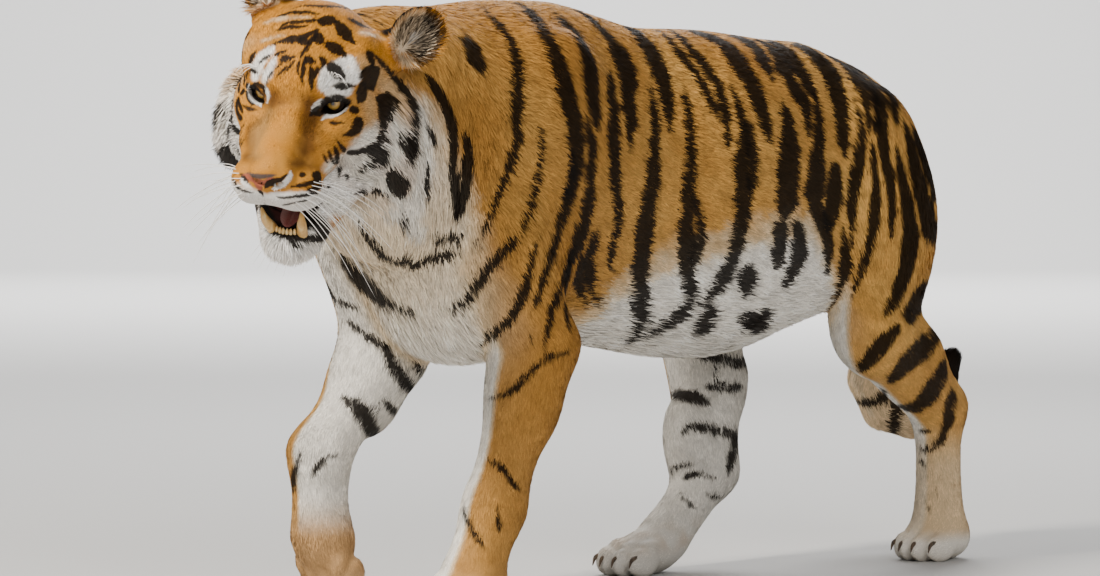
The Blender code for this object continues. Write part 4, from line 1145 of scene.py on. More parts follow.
def stroke_reach(points, stroke):
    """(which points are near, how far inside the stroke they are); its width is as it is seen."""
    line, widths, seen = stroke[:3]
    wide = widths.max() * (1 if seen is None else DEEPEST) + 0.006
    low, high = line.min(axis=0) - wide, line.max(axis=0) + wide
    near = np.nonzero(np.all((points > low) & (points < high), axis=1))[0]
    inside = np.full(len(near), -1.0)
    chosen = points[near]
    for n in range(len(line) - 1):
        run, gap = line[n + 1] - line[n], chosen - line[n]
        if seen is not None:
            deep = gap @ seen
            run, gap = run - (run @ seen) * seen, gap - deep[:, None] * seen
        share = np.clip(gap @ run / max(run @ run, 1e-12), 0, 1)
        reach = np.linalg.norm(gap - share[:, None] * run, axis=1)
        if seen is not None:
            reach = np.maximum(reach,
                np.abs(deep - share * ((line[n + 1] - line[n]) @ seen)) / DEEPEST)
        inside = np.maximum(inside, widths[n] + share * (widths[n + 1] - widths[n]) - reach)
    return near, inside


def mixed(colours, shade, amount):
    return colours + (np.array(shade) - colours) * amount[:, None]


def patch(points, centre, radii, soft, tilt=0.0, turn=0.0, lean=0.0):
    """1 inside an ellipsoid, fading to 0 over `soft` at its rim."""
    form = egg(centre, radii, tilt, turn, lean)
    return 1 - smooth(near_distance(form, points), -soft / 2, soft / 2)


# Where the white begins: height on the flank by y, and sideways place on the chest by height.
BELLY_LINE = ((-0.30, -0.20, -0.13, -0.04, 0.05, 0.12, 0.22, 0.30, 0.36, 0.42, 0.45, 0.60),
              (0.30, 0.460, 0.520, 0.548, 0.568, 0.585, 0.605, 0.600, 0.555, 0.470, 0.40, 0.33))
CHEST_LINE = ((0.30, 0.45, 0.52, 0.57, 0.60, 0.66, 0.72, 0.79, 0.82, 0.85, 0.90),
              (-0.20, -0.167, -0.200, -0.240, -0.252, -0.280, -0.305, -0.335, -0.350, -0.42, -0.64))
AXES = {
    # where each leg's middle runs, which way its white side faces, and how much of it is white
    "foreleg_left": (((0.118, -0.455, 0.60), (0.137, -0.375, 0.425), (0.112, -0.45, 0.165),
        (0.105, -0.49, 0)),
                     (-0.90, -0.43, 0), 0.45),
    "foreleg_right": (((-0.117, -0.506, 0.585), (-0.135, -0.448, 0.405), (-0.125, -0.61, 0.25),
        (-0.127, -0.607, 0)),
                      (0.98, -0.20, 0), -0.35),
    "hind_leg_left": (((0.088, 0.545, 0.715), (0.138, 0.49, 0.42), (0.112, 0.724, 0.275),
        (0.106, 0.735, 0)),
                      (-0.97, -0.24, 0), 0.15),
    "hind_leg_right": (((-0.088, 0.53, 0.70), (-0.14, 0.345, 0.43), (-0.112, 0.35, 0.17),
        (-0.104, 0.222, 0)),
                       (0.97, -0.24, 0), -0.35),
}


def away_from(points, line):
    """The unit direction of each point from the nearest place on a line of points."""
    line = np.array(line, float)
    best, found = np.full(len(points), 9.0), np.zeros((len(points), 3))
    for a, b in zip(line, line[1:]):
        run = b - a
        share = np.clip((points - a) @ run / (run @ run), 0, 1)
        gap = points - a - share[:, None] * run
        length = np.linalg.norm(gap, axis=1)
        nearer = length < best
        best[nearer] = length[nearer]
        found[nearer] = gap[nearer]
    return found / np.maximum(best, 1e-6)[:, None]


def part_shares(points):
    """How much each point belongs to trunk, tail and each leg, by nearness; rows add up to 1."""
    gaps = np.array([union(points) for union in BODY_UNIONS])
    legs = [np.minimum(gaps[2 + n], gaps[6 + n]) for n in range(4)]
    head = np.min([union(points) for union in HEAD_UNIONS], axis=0)
    gaps = np.array([gaps[0], gaps[1], *legs, head])
    weight = np.exp(-np.maximum(gaps, -0.02) / 0.016)
    return weight / weight.sum(axis=0)


def coat_colours(points, shares):
    """The coat's colour at each point of the skin, markings and all."""
    broad, fine = value_noise(points, 0.11, 1), value_noise(points, 0.018, 2)
    colours = np.tile(np.array(GOLD), (len(points), 1))
    ridge = smooth(points[:, 2], 0.80, 0.96)
    colours = mixed(colours, DEEP, np.clip(0.30 + 0.30 * broad + 0.12 * fine + 0.25 * ridge, 0, 1))
    side = np.abs(points[:, 0])
    # Darker umber over the front of the trunk and the left foreleg: partly their deeper fur, partly
    # painted shade.
    fore = shares[0] * smooth(-points[:, 1], 0.02,
        0.26) * (1 - 0.5 * smooth(points[:, 2], 0.80, 0.95)) + shares[2]
    colours = mixed(colours, UMBER_AND_SHADE, np.clip(fore, 0, 1) * (0.50 + 0.15 * broad))
    belly = np.interp(points[:, 1], *BELLY_LINE) - points[:, 2] + 0.018 * fine
    chest = np.interp(points[:, 2], *CHEST_LINE) - QUARTER * (side + points[:, 1]) + 0.012 * fine
    trunk = shares[0]
    white = trunk * np.maximum(smooth(belly, -0.055, 0.050), smooth(chest, -0.024, 0.034))
    white = np.maximum(white,
        trunk * (1 - smooth(side, 0.05, 0.10)) * (1 - smooth(points[:, 2], 0.45, 0.60)))
    for n, (line, toward, limit) in enumerate(AXES.values()):
        facing = away_from(points, line) @ np.array(toward)
        if n == 1:
            limit = limit + 0.45 * (1 - smooth(points[:, 2], 0.28, 0.40))
        inner = smooth(facing, limit - 0.14, limit + 0.14)
        if n == 0:
            inner = inner * (1 - smooth(points[:, 2], 0.40, 0.50) * 0.5)
        white = np.maximum(white, shares[2 + n] * inner)
    tail = np.clip(0.45 - away_from(points, np.array(TAIL_LINE)[:, :3])[:, 1] * 0.2, 0, 1)
    white = np.maximum(white, shares[1] * tail * (1 - smooth(points[:, 2], 0.62, 0.80)) * 0.8)
    white = np.clip(white, 0, 1)
    edge = 4 * white * (1 - white)
    colours = mixed(colours, CREAM, np.clip(edge * 0.8, 0, 1) * (white < 0.5) + (white >= 0.5))
    ahead = smooth(-points[:, 1], 0.25, 0.42)
    high = shares[0] * ahead * smooth(points[:, 2], 0.38, 0.56) * 0.80
    colours = mixed(colours, WHITE, smooth(white, 0.45, 0.95) * (1 - high))
    colours = leg_colours(colours, points, shares, fine)
    colours = head_colours(colours, points, shares[6], fine)
    ragged = fine + 0.5 * value_noise(points, 0.006, 3)
    colours = trim_colours(rim_colours(colours, points), points, shares)
    for stroke in STROKES:
        near, inside = stroke_reach(points, stroke)
        shade, soft, strength = stroke[3:]
        depth = smooth(inside + ragged[near] * min(soft, 0.004), -soft, soft)
        colours[near] = mixed(colours[near], shade, depth * strength)
    return colours


def leg_colours(colours, points, shares, fine):
    """Tan paws and shins, pale toes, and painted shade darkening the right foreleg and the right
    hind leg.
    """
    low = [1 - smooth(points[:, 2], 0.13, 0.24)] * 4
    fore_right = shares[3] * (1 - smooth(points[:, 2], 0.11, 0.19))
    colours = mixed(colours, TAN, fore_right * smooth(-points[:, 1], 0.50, 0.57))
    hind_left = shares[4] * (1 - smooth(points[:, 2], 0.16, 0.26))
    colours = mixed(colours, CREAM, hind_left * 0.75)
    hind_right = shares[5] * (1 - smooth(points[:, 2], 0.05, 0.11)) * low[0]
    colours = mixed(colours, TAN, hind_right * 0.35 * np.clip(0.6 + fine, 0, 1))
    toes = (shares[4] + shares[5]) * (1 - smooth(points[:, 2], 0.030, 0.060))
    colours = mixed(colours, WHITE, np.clip(toes * 0.9, 0, 1))
    # The right foreleg and right hind leg darkened: painted shade.
    return colours * (1 - 0.20 * shares[3] - 0.28 * shares[5])[:, None]


def head_colours(colours, points, share, fine):
    """Brow, cheeks, muzzle, chin and ruff."""
    face = on_face(points)
    near = np.abs(face[:, 0])
    left = np.column_stack([near, face[:, 1], face[:, 2]])
    colours = mixed(colours, SUNNED, share * (0.80 + 0.15 * fine))
    ruff = patch(left, (0.135, 0.130, -0.130), (0.075, 0.115, 0.105), 0.05)
    jowl = patch(left, (0.085, 0.045, -0.115), (0.070, 0.095, 0.060), 0.03)
    white = np.maximum(ruff * 0.95, jowl)
    muzzle = patch(left, (0.034, -0.110, -0.119), (0.046, 0.066, 0.034), 0.010)
    chin = patch(face, (JAW_SHIFT, -0.060, -0.205), (0.060, 0.100, 0.050), 0.02)
    lips = 1 - smooth(near_distance(MOUTH, face), 0.014, 0.034)
    for amount in (white, muzzle, chin, lips):
        colours = mixed(colours, SNOW, share * np.clip(amount * (0.96 + 0.1 * fine), 0, 1))
    return colours


def rim_colours(colours, points):
    """Black lids and lips, and the dark inside of the mouth."""
    face = on_face(points)
    near = on_left_half(face)
    gap = near_distance(SOCKETS[0], near) - 0.005 * smooth(face[:, 2], 0.002, 0.010)
    colours = mixed(colours, BLACK, 1 - smooth(gap, 0.0040, 0.0058))
    mouth = near_distance(MOUTH, face)
    low = smooth(-face[:, 2], 0.158, 0.170)
    front = smooth(-face[:, 1], -0.06, 0.0)
    colours = mixed(colours, BLACK,
        (1 - smooth(mouth, 0.0035 + 0.0075 * low, 0.006 + 0.009 * low)) * front)
    return mixed(colours, (0.20, 0.060, 0.058), 1 - smooth(mouth, -0.0005, 0.0015))


def trim_colours(colours, points, shares):
    """Ears and the tail's tip."""
    face = on_face(points)
    line = np.array(TAIL_LINE)[-2:, :3].mean(axis=0)
    tip = near_to(points, line + (0, 0, 0.03), 0.060, 0.075) * shares[1]
    colours = mixed(colours, BLACK, tip)
    for at, turn, lean, cup in ((EAR_LEFT, 26, 34, EAR_CUPS[0]),
        (EAR_RIGHT, -34, -20, EAR_CUPS[1])):
        local = (face - np.array(at)) @ turned(turn, -10, lean)
        reach = np.linalg.norm(local / (0.050, 0.034, 0.060), axis=1)
        ear = 1 - smooth(reach, 1.0, 1.25)
        gap = near_distance(cup, face)
        inside = ear * (1 - smooth(gap, 0.0005, 0.0030))
        rim = ear * (1 - smooth(gap, 0.0050, 0.0085)) * (1 - inside)
        behind = ear * smooth(local[:, 1], -0.014, -0.006) * (1 - inside)
        colours = mixed(colours, BLACK, behind * smooth(local[:, 2], -0.040, -0.020))
        spot = near_to(local, (0.0, 0.024, -0.002), 0.015, 0.021)
        colours = mixed(colours, SNOW, behind * spot)
        outer = smooth(local[:, 0] * np.sign(at[0]) + 0.5 * local[:, 2], -0.004, 0.008)
        colours = mixed(colours, CREAM, rim * (1 - behind) * (1 - outer) * 0.8)
        colours = mixed(colours, BLACK, rim * outer * 0.9)
        colours = mixed(colours, (0.84, 0.72, 0.54), inside)
    return colours


# ---------------------------------------------------------------- the lie of the coat
NOSE_AT = (0.0, -0.150, -0.060)  # in the head's axes; the hair of the face starts here
TAIL_PLACES = np.array(TAIL_LINE)[:, :3]


def run_of(points, line):
    """The direction of a line of points where it passes nearest each point."""
    line = np.array(line, float)
    best, found = np.full(len(points), 9.0), np.zeros((len(points), 3))
    for a, b in zip(line, line[1:]):
        run = b - a
        share = np.clip((points - a) @ run / (run @ run), 0, 1)
        length = np.linalg.norm(points - a - share[:, None] * run, axis=1)
        nearer = length < best
        best[nearer] = length[nearer]
        found[nearer] = run / np.linalg.norm(run)
    return found


def unit(vectors):
    return vectors / np.maximum(np.linalg.norm(vectors, axis=1), 1e-9)[:, None]


def across_to(vectors, normals):
    """The part of each vector that lies along the skin."""
    return vectors - (vectors * normals).sum(axis=1)[:, None] * normals


def lie_of_hair(points, normals, shares):
    """The unit direction the hair points along the skin."""
    face = on_face(points)
    front = smooth(-points[:, 1], 0.40, 0.58)
    low = 1 - smooth(points[:, 2], 0.45, 0.60)
    trunk = np.column_stack([np.zeros(len(points)), 1 - 0.80 * front,
        -0.32 - 0.68 * front + 0.25 * low])
    found = unit(trunk) * shares[0][:, None]
    found += run_of(points, TAIL_PLACES) * shares[1][:, None]
    for n, (line, _, _) in enumerate(AXES.values()):
        down = run_of(points, line) + (0, 0.22, -0.30)
        foot = 1 - smooth(points[:, 2], 0.045, 0.10)
        ahead = np.array([0, -0.2, -1.0]) if n == 1 else np.array([0, -1.0, -0.45])
        down = down + (ahead - down) * foot[:, None]
        found += unit(down) * shares[2 + n][:, None]
    side = np.sign(face[:, :1])
    away = unit(face - np.array(NOSE_AT)) * (0.8, 1, 1)
    ruff = smooth(np.abs(face[:, 0]), 0.085, 0.130)[:, None]
    away = away + (side * (0.35, 0, 0) + (0, 0.45, -0.85) - away) * ruff * 0.8
    for at in (EAR_LEFT, EAR_RIGHT):
        ear = near_to(face, at, 0.050, 0.075)[:, None]
        outward = unit(face - np.array(at) * (0.75, 1.0, 0.55))
        away = away + (outward - away) * ear
    found += (unit(away) @ HEAD_ROTATION.T) * shares[6][:, None]
    sway = np.column_stack([value_noise(points, 0.030, n) for n in (11, 12, 13)])
    clump = np.column_stack([value_noise(points, 0.010, n) for n in (14, 15, 16)])
    found = unit(across_to(found, normals)) + 0.16 * sway + 0.20 * clump
    return unit(across_to(found, normals))


def coat_sizes(points, shares):
    """(tufts to a square metre, length, width, lift in degrees, spread of tone) at each point."""
    face = on_face(points)
    near = on_left_half(face)
    legs = np.clip(shares[2] + shares[3] + shares[4] + shares[5], 0, 1)
    legs = legs * (1 - smooth(points[:, 2], 0.42, 0.56))
    # gap, length, width, lift, spread of tone: the trunk's, then where other hair takes over
    sizes = np.tile(np.array([0.00255, 0.0185, 0.0021, 13.0, 0.17]), (len(points), 1))

    def becomes(amount, *wanted):
        nonlocal sizes
        sizes = sizes + (np.array(wanted) - sizes) * amount[:, None]

    becomes(legs, 0.00245, 0.0115, 0.0017, 11, 0.15)
    becomes(1 - smooth(points[:, 2], 0.05, 0.12), 0.0021, 0.0062, 0.0014, 11, 0.12)
    becomes(shares[1], 0.0024, 0.0170, 0.0020, 14, 0.18)
    under = shares[0] * (1 - smooth(points[:, 2], 0.46, 0.56))
    chest = shares[0] * smooth(-points[:, 1], 0.46, 0.60) * (1 - smooth(points[:, 2], 0.68, 0.80))
    becomes(np.maximum(under, chest * 0.8), 0.0027, 0.034, 0.0026, 15, 0.20)
    head = shares[6]
    becomes(head, 0.0020, 0.0120, 0.0014, 12, 0.17)
    becomes(head * (1 - smooth(face[:, 1], 0.03, 0.14)), 0.0019, 0.0072, 0.0013, 14, 0.40)
    ruff = patch(near, (0.135, 0.130, -0.115), (0.075, 0.115, 0.115), 0.05) * head
    becomes(ruff, 0.0022, 0.038, 0.0022, 19, 0.28)
    chin = patch(face, (JAW_SHIFT, -0.060, -0.215), (0.050, 0.080, 0.036), 0.03) * head
    becomes(chin, 0.0019, 0.021, 0.0015, 34, 0.20)
    becomes(near_to(face, (0.0, -0.110, -0.085), 0.060, 0.100) * head, 0.0016, 0.0044, 0.0011, 13,
        0.38)
    becomes(near_to(near, EYE_AT + (0, -0.015, 0), 0.022, 0.036), 0.0014, 0.0032, 0.0009, 9, 0.10)
    for at in (EAR_LEFT, EAR_RIGHT):
        becomes(near_to(face, at, 0.050, 0.070), 0.0019, 0.0080, 0.0013, 12, 0.16)
    for cup in EAR_CUPS:
        becomes(1 - smooth(near_distance(cup, face), 0.001, 0.004), 0.0021, 0.0230, 0.0012, 26,
            0.38)
    gap, length, width, lift, spread = sizes.T
    return 1 / gap**2, length, width, lift, spread


def bare_share(points):
    """1 where no tuft grows: nose leather, lids, lips' rims, the mouth and the soles."""
    face = on_face(points)
    near = on_left_half(face)
    bare = 1 - smooth(near_distance(SOCKETS[0], near), 0.0016, 0.0022)
    for stroke in LEATHER:
        chosen, inside = stroke_reach(points, stroke)
        bare[chosen] = np.maximum(bare[chosen], smooth(inside, -0.0008, 0.0004))
    mouth = near_distance(MOUTH, face)
    low = smooth(-face[:, 2], 0.158, 0.170)
    bare = np.maximum(bare, 1 - smooth(mouth, 0.0020 + 0.005 * low, 0.0045 + 0.006 * low))
    return np.maximum(bare, 1 - smooth(points[:, 2], 0.0015, 0.004))


def rooted(seed):
    """Roots spread evenly over the skin: (points, normals, unwrap places)."""
    mesh = SKIN.data
    mesh.calc_loop_triangles()
    corners = np.empty(len(mesh.loop_triangles) * 3, np.int32)
    mesh.loop_triangles.foreach_get("vertices", corners)
    loops = np.empty(len(mesh.loop_triangles) * 3, np.int32)
    mesh.loop_triangles.foreach_get("loops", loops)
    corners, loops = corners.reshape(-1, 3), loops.reshape(-1, 3)
    places = points_of(SKIN)
    normals = np.empty(len(mesh.vertices) * 3)
    mesh.vertices.foreach_get("normal", normals)
    normals = normals.reshape(-1, 3)
    spread = np.empty(len(mesh.loops) * 2)
    mesh.uv_layers["OFBake"].data.foreach_get("uv", spread)
    spread = spread.reshape(-1, 2)
    middles = places[corners].mean(axis=1)
    sides = places[corners[:, 1]] - places[corners[:, 0]], places[corners[:,
        2]] - places[corners[:, 0]]
    area = np.linalg.norm(np.cross(*sides), axis=1) / 2
    dense = coat_sizes(middles, part_shares(middles))[0] * (1 - bare_share(middles))
    total = np.cumsum(area * dense * COAT_DENSITY)
    count = int(total[-1])
    draw = np.random.default_rng(seed)
    chosen = np.searchsorted(total, np.arange(count) + draw.random(count))
    chosen = np.minimum(chosen, len(corners) - 1)
    first, second = draw.random(count), draw.random(count)
    over = first + second > 1
    first[over], second[over] = 1 - first[over], 1 - second[over]
    shares = np.column_stack([1 - first - second, first, second])
    roots = (places[corners[chosen]] * shares[:, :, None]).sum(axis=1)
    upright = unit((normals[corners[chosen]] * shares[:, :, None]).sum(axis=1))
    flat = (spread[loops[chosen]] * shares[:, :, None]).sum(axis=1)
    keep = bare_share(roots) < 0.5
    return roots[keep], upright[keep], flat[keep]


def blades(name, roots, upright, flat, lie, length, width, lift, spread, colours, seed):
    """One mesh of flat, tapering tufts, their roots sunk in the skin and their tips laid back."""
    count = len(roots)
    draw = np.random.default_rng(seed)
    turn = np.radians(draw.normal(0, 7, count))[:, None]
    beside = np.cross(upright, lie)
    ahead = lie * np.cos(turn) + beside * np.sin(turn)
    beside = np.cross(upright, ahead)
    length = (length * draw.uniform(0.75, 1.25, count))[:, None]
    width = (width * draw.uniform(0.8, 1.2, count))[:, None]
    rise = np.radians(lift * draw.uniform(0.6, 1.4, count))[:, None]
    root = roots - 0.0006 * upright
    middle = root + 0.38 * length * (ahead * np.cos(rise) + upright * np.sin(rise))
    tip = root + length * (ahead * np.cos(rise * 0.45) + upright * np.sin(rise * 0.45))
    rolled = unit(beside + upright * draw.normal(0, 0.30, count)[:, None])
    points = np.stack([root, middle + rolled * width / 2, middle - rolled * width / 2, tip], axis=1)
    points[:, :, 2] = np.maximum(points[:, :, 2], 0.0003)
    base = 4 * np.arange(count)[:, None]
    faces = np.stack([base + (0, 2, 1), base + (2, 3, 1)], axis=1).reshape(-1, 3)
    mesh = bpy.data.meshes.new(name)
    mesh.vertices.add(4 * count)
    mesh.vertices.foreach_set("co", points.ravel())
    mesh.loops.add(6 * count)
    mesh.loops.foreach_set("vertex_index", faces.ravel().astype(np.int32))
    mesh.polygons.add(2 * count)
    mesh.polygons.foreach_set("loop_start", np.arange(0, 6 * count, 3, dtype=np.int32))
    mesh.update(calc_edges=True)
    tone = (1 + spread * draw.uniform(-1.35, 1.0, count))[:, None, None]
    # Each tuft darker at its root than at its tip: painted shade among the hairs.
    along = np.array([0.60, 0.92, 0.92, 1.10])[None, :, None]
    shade = np.clip(colours[:, None, :] * tone * along, 0, 1)
    paint = mesh.color_attributes.new("coat", "FLOAT_COLOR", "POINT")
    paint.data.foreach_set("color", np.concatenate([shade, np.ones((count, 4, 1))], axis=2).ravel())
    spot = PATCH * (np.array([(0, -0.5), (0.5, -0.1), (-0.5, -0.1), (0, 0.5)]))
    place = (np.clip(flat, PATCH, 1 - PATCH)[:, None, :] + spot[None]).reshape(-1, 2)[faces.ravel()]
    layer = mesh.uv_layers.new(name="OFBake")
    layer.data.foreach_set("uv", place.ravel())
    own = unit(np.cross(beside, ahead) + upright * 1e-3)
    own = own * np.sign((own * upright).sum(axis=1))[:, None]
    tipped = unit(upright + 0.35 * (rolled - beside) + 0.10 * ahead * draw.normal(0, 1, count)[:,
        None])
    mesh.shade_smooth()
    mesh.normals_split_custom_set_from_vertices(np.repeat(unit(tipped + 0.2 * own), 4, axis=0))
    thing = bpy.data.objects.new(name, mesh)
    bpy.context.scene.collection.objects.link(thing)
    return thing


PATCH = 0.003
COAT_DENSITY = 1.0
COAT_PIECES = {
    # name: which group of shares, and which tufts of the group by place
    "coat_back_left": lambda p, g: (g == 0) & (p[:, 0] >= 0) & (p[:, 1] > 0.0),
    "coat_back_right": lambda p, g: (g == 0) & (p[:, 0] < 0) & (p[:, 1] > 0.0),
    "coat_front_left": lambda p, g: (g == 0) & (p[:, 0] >= 0) & (p[:, 1] <= 0.0),
    "coat_front_right": lambda p, g: (g == 0) & (p[:, 0] < 0) & (p[:, 1] <= 0.0),
    "coat_tail": lambda p, g: g == 1,
    "coat_foreleg_left": lambda p, g: g == 2,
    "coat_foreleg_right": lambda p, g: g == 3,
    "coat_hind_leg_left": lambda p, g: g == 4,
    "coat_hind_leg_right": lambda p, g: g == 5,
    "coat_head_left": lambda p, g: (g == 6) & (on_face(p)[:, 0] >= 0),
    "coat_head_right": lambda p, g: (g == 6) & (on_face(p)[:, 0] < 0),
}


def coat_objects():
    roots, upright, flat = rooted(7)
    shares = part_shares(roots)
    group = shares.argmax(axis=0)
    lie = lie_of_hair(roots, upright, shares)
    _, length, width, lift, spread = coat_sizes(roots, shares)
    shown = roots + lie * (length * 0.45)[:, None]
    shown += lie * (length * np.random.default_rng(5).normal(0, 0.14, len(roots)))[:, None]
    colours = coat_colours(shown, shares)
    locks = value_noise(roots, 0.011, 21) + 0.7 * value_noise(roots, 0.026, 22)
    locks += shares[6] * value_noise(roots, 0.004, 23)
    colours = colours * (1 + 0.17 * locks)[:, None]
    made = {}
    for seed, (name, chosen) in enumerate(COAT_PIECES.items()):
        k = np.nonzero(chosen(roots, group))[0]
        made[name] = blades(
            name, roots[k], upright[k], flat[k], lie[k], length[k], width[k], lift[k], spread[k],
            colours[k], seed
        )
    return made


# ---------------------------------------------------------------- materials
def material(name, roughness, specular=0.3, sheen=0.0):
    """(material, its nodes, its links, its shader) with the constants set on the sockets."""
    made = bpy.data.materials.new(name)
    made.use_nodes = True
    nodes, links = made.node_tree.nodes, made.node_tree.links
    shader = nodes["Principled BSDF"]
    shader.inputs["Roughness"].default_value = roughness
    shader.inputs["Specular IOR Level"].default_value = specular
    shader.inputs["Sheen Weight"].default_value = sheen
    return made, nodes, links, shader


def noise_node(nodes, links, scale, detail=3.0, stretch=None, source=None):
    """A noise texture on Object coordinates, or on another vector."""
    noise = nodes.new("ShaderNodeTexNoise")
    noise.inputs["Scale"].default_value = scale
    noise.inputs["Detail"].default_value = detail
    where = source or nodes.new("ShaderNodeTexCoord").outputs["Object"]
    if stretch:
        mapping = nodes.new("ShaderNodeMapping")
        mapping.inputs["Scale"].default_value = stretch
        links.new(where, mapping.inputs["Vector"])
        where = mapping.outputs["Vector"]
    links.new(where, noise.inputs["Vector"])
    return noise.outputs["Fac"]


def bumped(nodes, links, shader, height, depth, strength=1.0):
    bump = nodes.new("ShaderNodeBump")
    bump.inputs["Distance"].default_value = depth
    bump.inputs["Strength"].default_value = strength
    links.new(height, bump.inputs["Height"])
    links.new(bump.outputs["Normal"], shader.inputs["Normal"])


def ramp_node(nodes, links, value, *stops):
    ramp = nodes.new("ShaderNodeValToRGB")
    links.new(value, ramp.inputs["Fac"])
    elements = ramp.color_ramp.elements
    while len(elements) < len(stops):
        elements.new(0.5)
    for element, (position, colour) in zip(elements, stops):
        element.position = position
        element.color = (*colour, 1)
    return ramp.outputs["Color"]


def tinted(nodes, links, colour, value, amount, kind="MULTIPLY"):
    """The colour varied by a grey value, which stays between 1 - amount and 1 + amount."""
    spread = nodes.new("ShaderNodeMapRange")
    spread.inputs["To Min"].default_value = 1 - amount
    spread.inputs["To Max"].default_value = 1 + amount
    links.new(value, spread.inputs["Value"])
    mix = nodes.new("ShaderNodeMix")
    mix.data_type = "RGBA"
    mix.blend_type = kind
    mix.inputs["Factor"].default_value = 1.0
    links.new(colour, mix.inputs[6])
    links.new(spread.outputs["Result"], mix.inputs[7])
    return mix.outputs[2]


def painted_colour(nodes):
    attribute = nodes.new("ShaderNodeAttribute")
    attribute.attribute_name = "coat"
    return attribute.outputs["Color"]


def coat_material():
    made, nodes, links, shader = material("coat_hair", 0.60, 0.09)
    strands = noise_node(nodes, links, 260, 2.0)
    colour = tinted(nodes, links, painted_colour(nodes), strands, 0.16)
    links.new(colour, shader.inputs["Base Color"])
    return made


def skin_material():
    made, nodes, links, shader = material("skin_and_down", 0.66, 0.14)
    fine = noise_node(nodes, links, 520, 4.0)
    colour = tinted(nodes, links, painted_colour(nodes), fine, 0.18)
    links.new(colour, shader.inputs["Base Color"])
    bumped(nodes, links, shader, fine, 0.0006, 0.5)
    return made


# ---------------------------------------------------------------- eyes, mouth, claws, whiskers
def on_head_at(place):
    """A place in the head's axes, moved to where the head is."""
    return HEAD_ROTATION @ np.array(place, float) + HEAD_AT


def tapered(shape, places, radii, sides):
    """A tube along a line that thins to a point, its root capped."""
    made = bmesh.ops.create_circle(shape, cap_ends=True, segments=sides, radius=1.0)["verts"]
    edges = list(dict.fromkeys(edge for vert in made for edge in vert.link_edges))
    before = Matrix.Identity(4)
    ring = made
    for n, (place, radius) in enumerate(zip(places[:-1], radii)):
        ahead = Vector(places[min(n + 1, len(places) - 1)]) - Vector(places[max(n - 1, 0)])
        if n:
            grown = bmesh.ops.extrude_edge_only(shape, edges=edges)["geom"]
            ring = [item for item in grown if isinstance(item, bmesh.types.BMVert)]
            edges = [item for item in grown if isinstance(item, bmesh.types.BMEdge)]
            edges = [edge for edge in edges if all(vert in ring for vert in edge.verts)]
        turn = ahead.to_track_quat("Z", "X").to_matrix().to_4x4()
        placed = Matrix.Translation(Vector(place)) @ turn @ Matrix.Scale(radius, 4)
        bmesh.ops.transform(shape, matrix=placed @ before.inverted(), verts=ring)
        before = placed
    bmesh.ops.pointmerge(shape, verts=ring, merge_co=Vector(places[-1]))


def tapered_object(name, lines, sides, step):
    """All of the lines' tapered tubes as one smooth piece; a line is its places and its radii."""
    shape = bmesh.new()
    for places, radii in lines:
        line = curve_through(places, step)
        share = np.linspace(0, 1, len(line))
        tapered(shape, line.tolist(), np.interp(share, np.linspace(0, 1, len(radii)), radii), sides)
    bmesh.ops.recalc_face_normals(shape, faces=shape.faces)
    thing = object_from(name, shape)
    thing.data.shade_smooth()
    return thing


GAZE = np.array([0.0, -0.98, 0.19])  # in the head's axes
IRIS = 0.60  # of the eye's radius
CORNEA_RISE = 0.0011


def eye_object(name, side):
    """An eyeball with its cornea's rise; each point keeps its place across the line of sight."""
    shape = bmesh.new()
    bmesh.ops.create_icosphere(shape, subdivisions=6, radius=EYE_RADIUS)
    thing = object_from(name, shape)
    points = points_of(thing)
    ahead = HEAD_ROTATION @ (GAZE / np.linalg.norm(GAZE))
    aside = np.cross(ahead, (0, 0, 1))
    aside /= np.linalg.norm(aside)
    above = np.cross(aside, ahead)
    local = np.column_stack([points @ aside, points @ above, points @ ahead]) / EYE_RADIUS
    reach = np.linalg.norm(local[:, :2], axis=1)
    rise = (1 - smooth(reach, IRIS * 0.55, IRIS * 1.15)) * (local[:, 2] > 0)
    points = points * (1 + CORNEA_RISE / EYE_RADIUS * rise)[:,
        None] + on_head_at(EYE_AT * (side, 1, 1))
    place_points(thing, points)
    kept = thing.data.attributes.new("sight", "FLOAT_VECTOR", "POINT")
    kept.data.foreach_set("vector", local.ravel())
    thing.data.shade_smooth()
    return thing


def eye_material():
    made, nodes, links, shader = material("wet_amber_eye", 0.30, 0.5)
    shader.inputs["Coat Weight"].default_value = 1.0
    shader.inputs["Coat Roughness"].default_value = 0.03
    sight = nodes.new("ShaderNodeAttribute")
    sight.attribute_name = "sight"
    flat = nodes.new("ShaderNodeVectorMath")
    flat.operation = "MULTIPLY"
    flat.inputs[1].default_value = (1, 1, 0)
    links.new(sight.outputs["Vector"], flat.inputs[0])
    reach = nodes.new("ShaderNodeVectorMath")
    reach.operation = "LENGTH"
    links.new(flat.outputs["Vector"], reach.inputs[0])
    spoke = nodes.new("ShaderNodeVectorMath")
    spoke.operation = "NORMALIZE"
    links.new(flat.outputs["Vector"], spoke.inputs[0])
    streaks = noise_node(nodes, links, 9.0, 3.0, source=spoke.outputs["Vector"])
    rings = ramp_node(
        nodes, links, reach.outputs["Value"],
        (0.125, (0.004, 0.004, 0.004)), (0.165, (0.34, 0.19, 0.030)), (0.300, (0.80, 0.48, 0.11)),
        (0.500, (0.62, 0.34, 0.065)), (0.570, (0.070, 0.038, 0.012)), (0.640, (0.03, 0.020, 0.016)),
        (0.820, (0.10, 0.07, 0.06)),
    )
    links.new(tinted(nodes, links, rings, streaks, 0.35), shader.inputs["Base Color"])
    return made


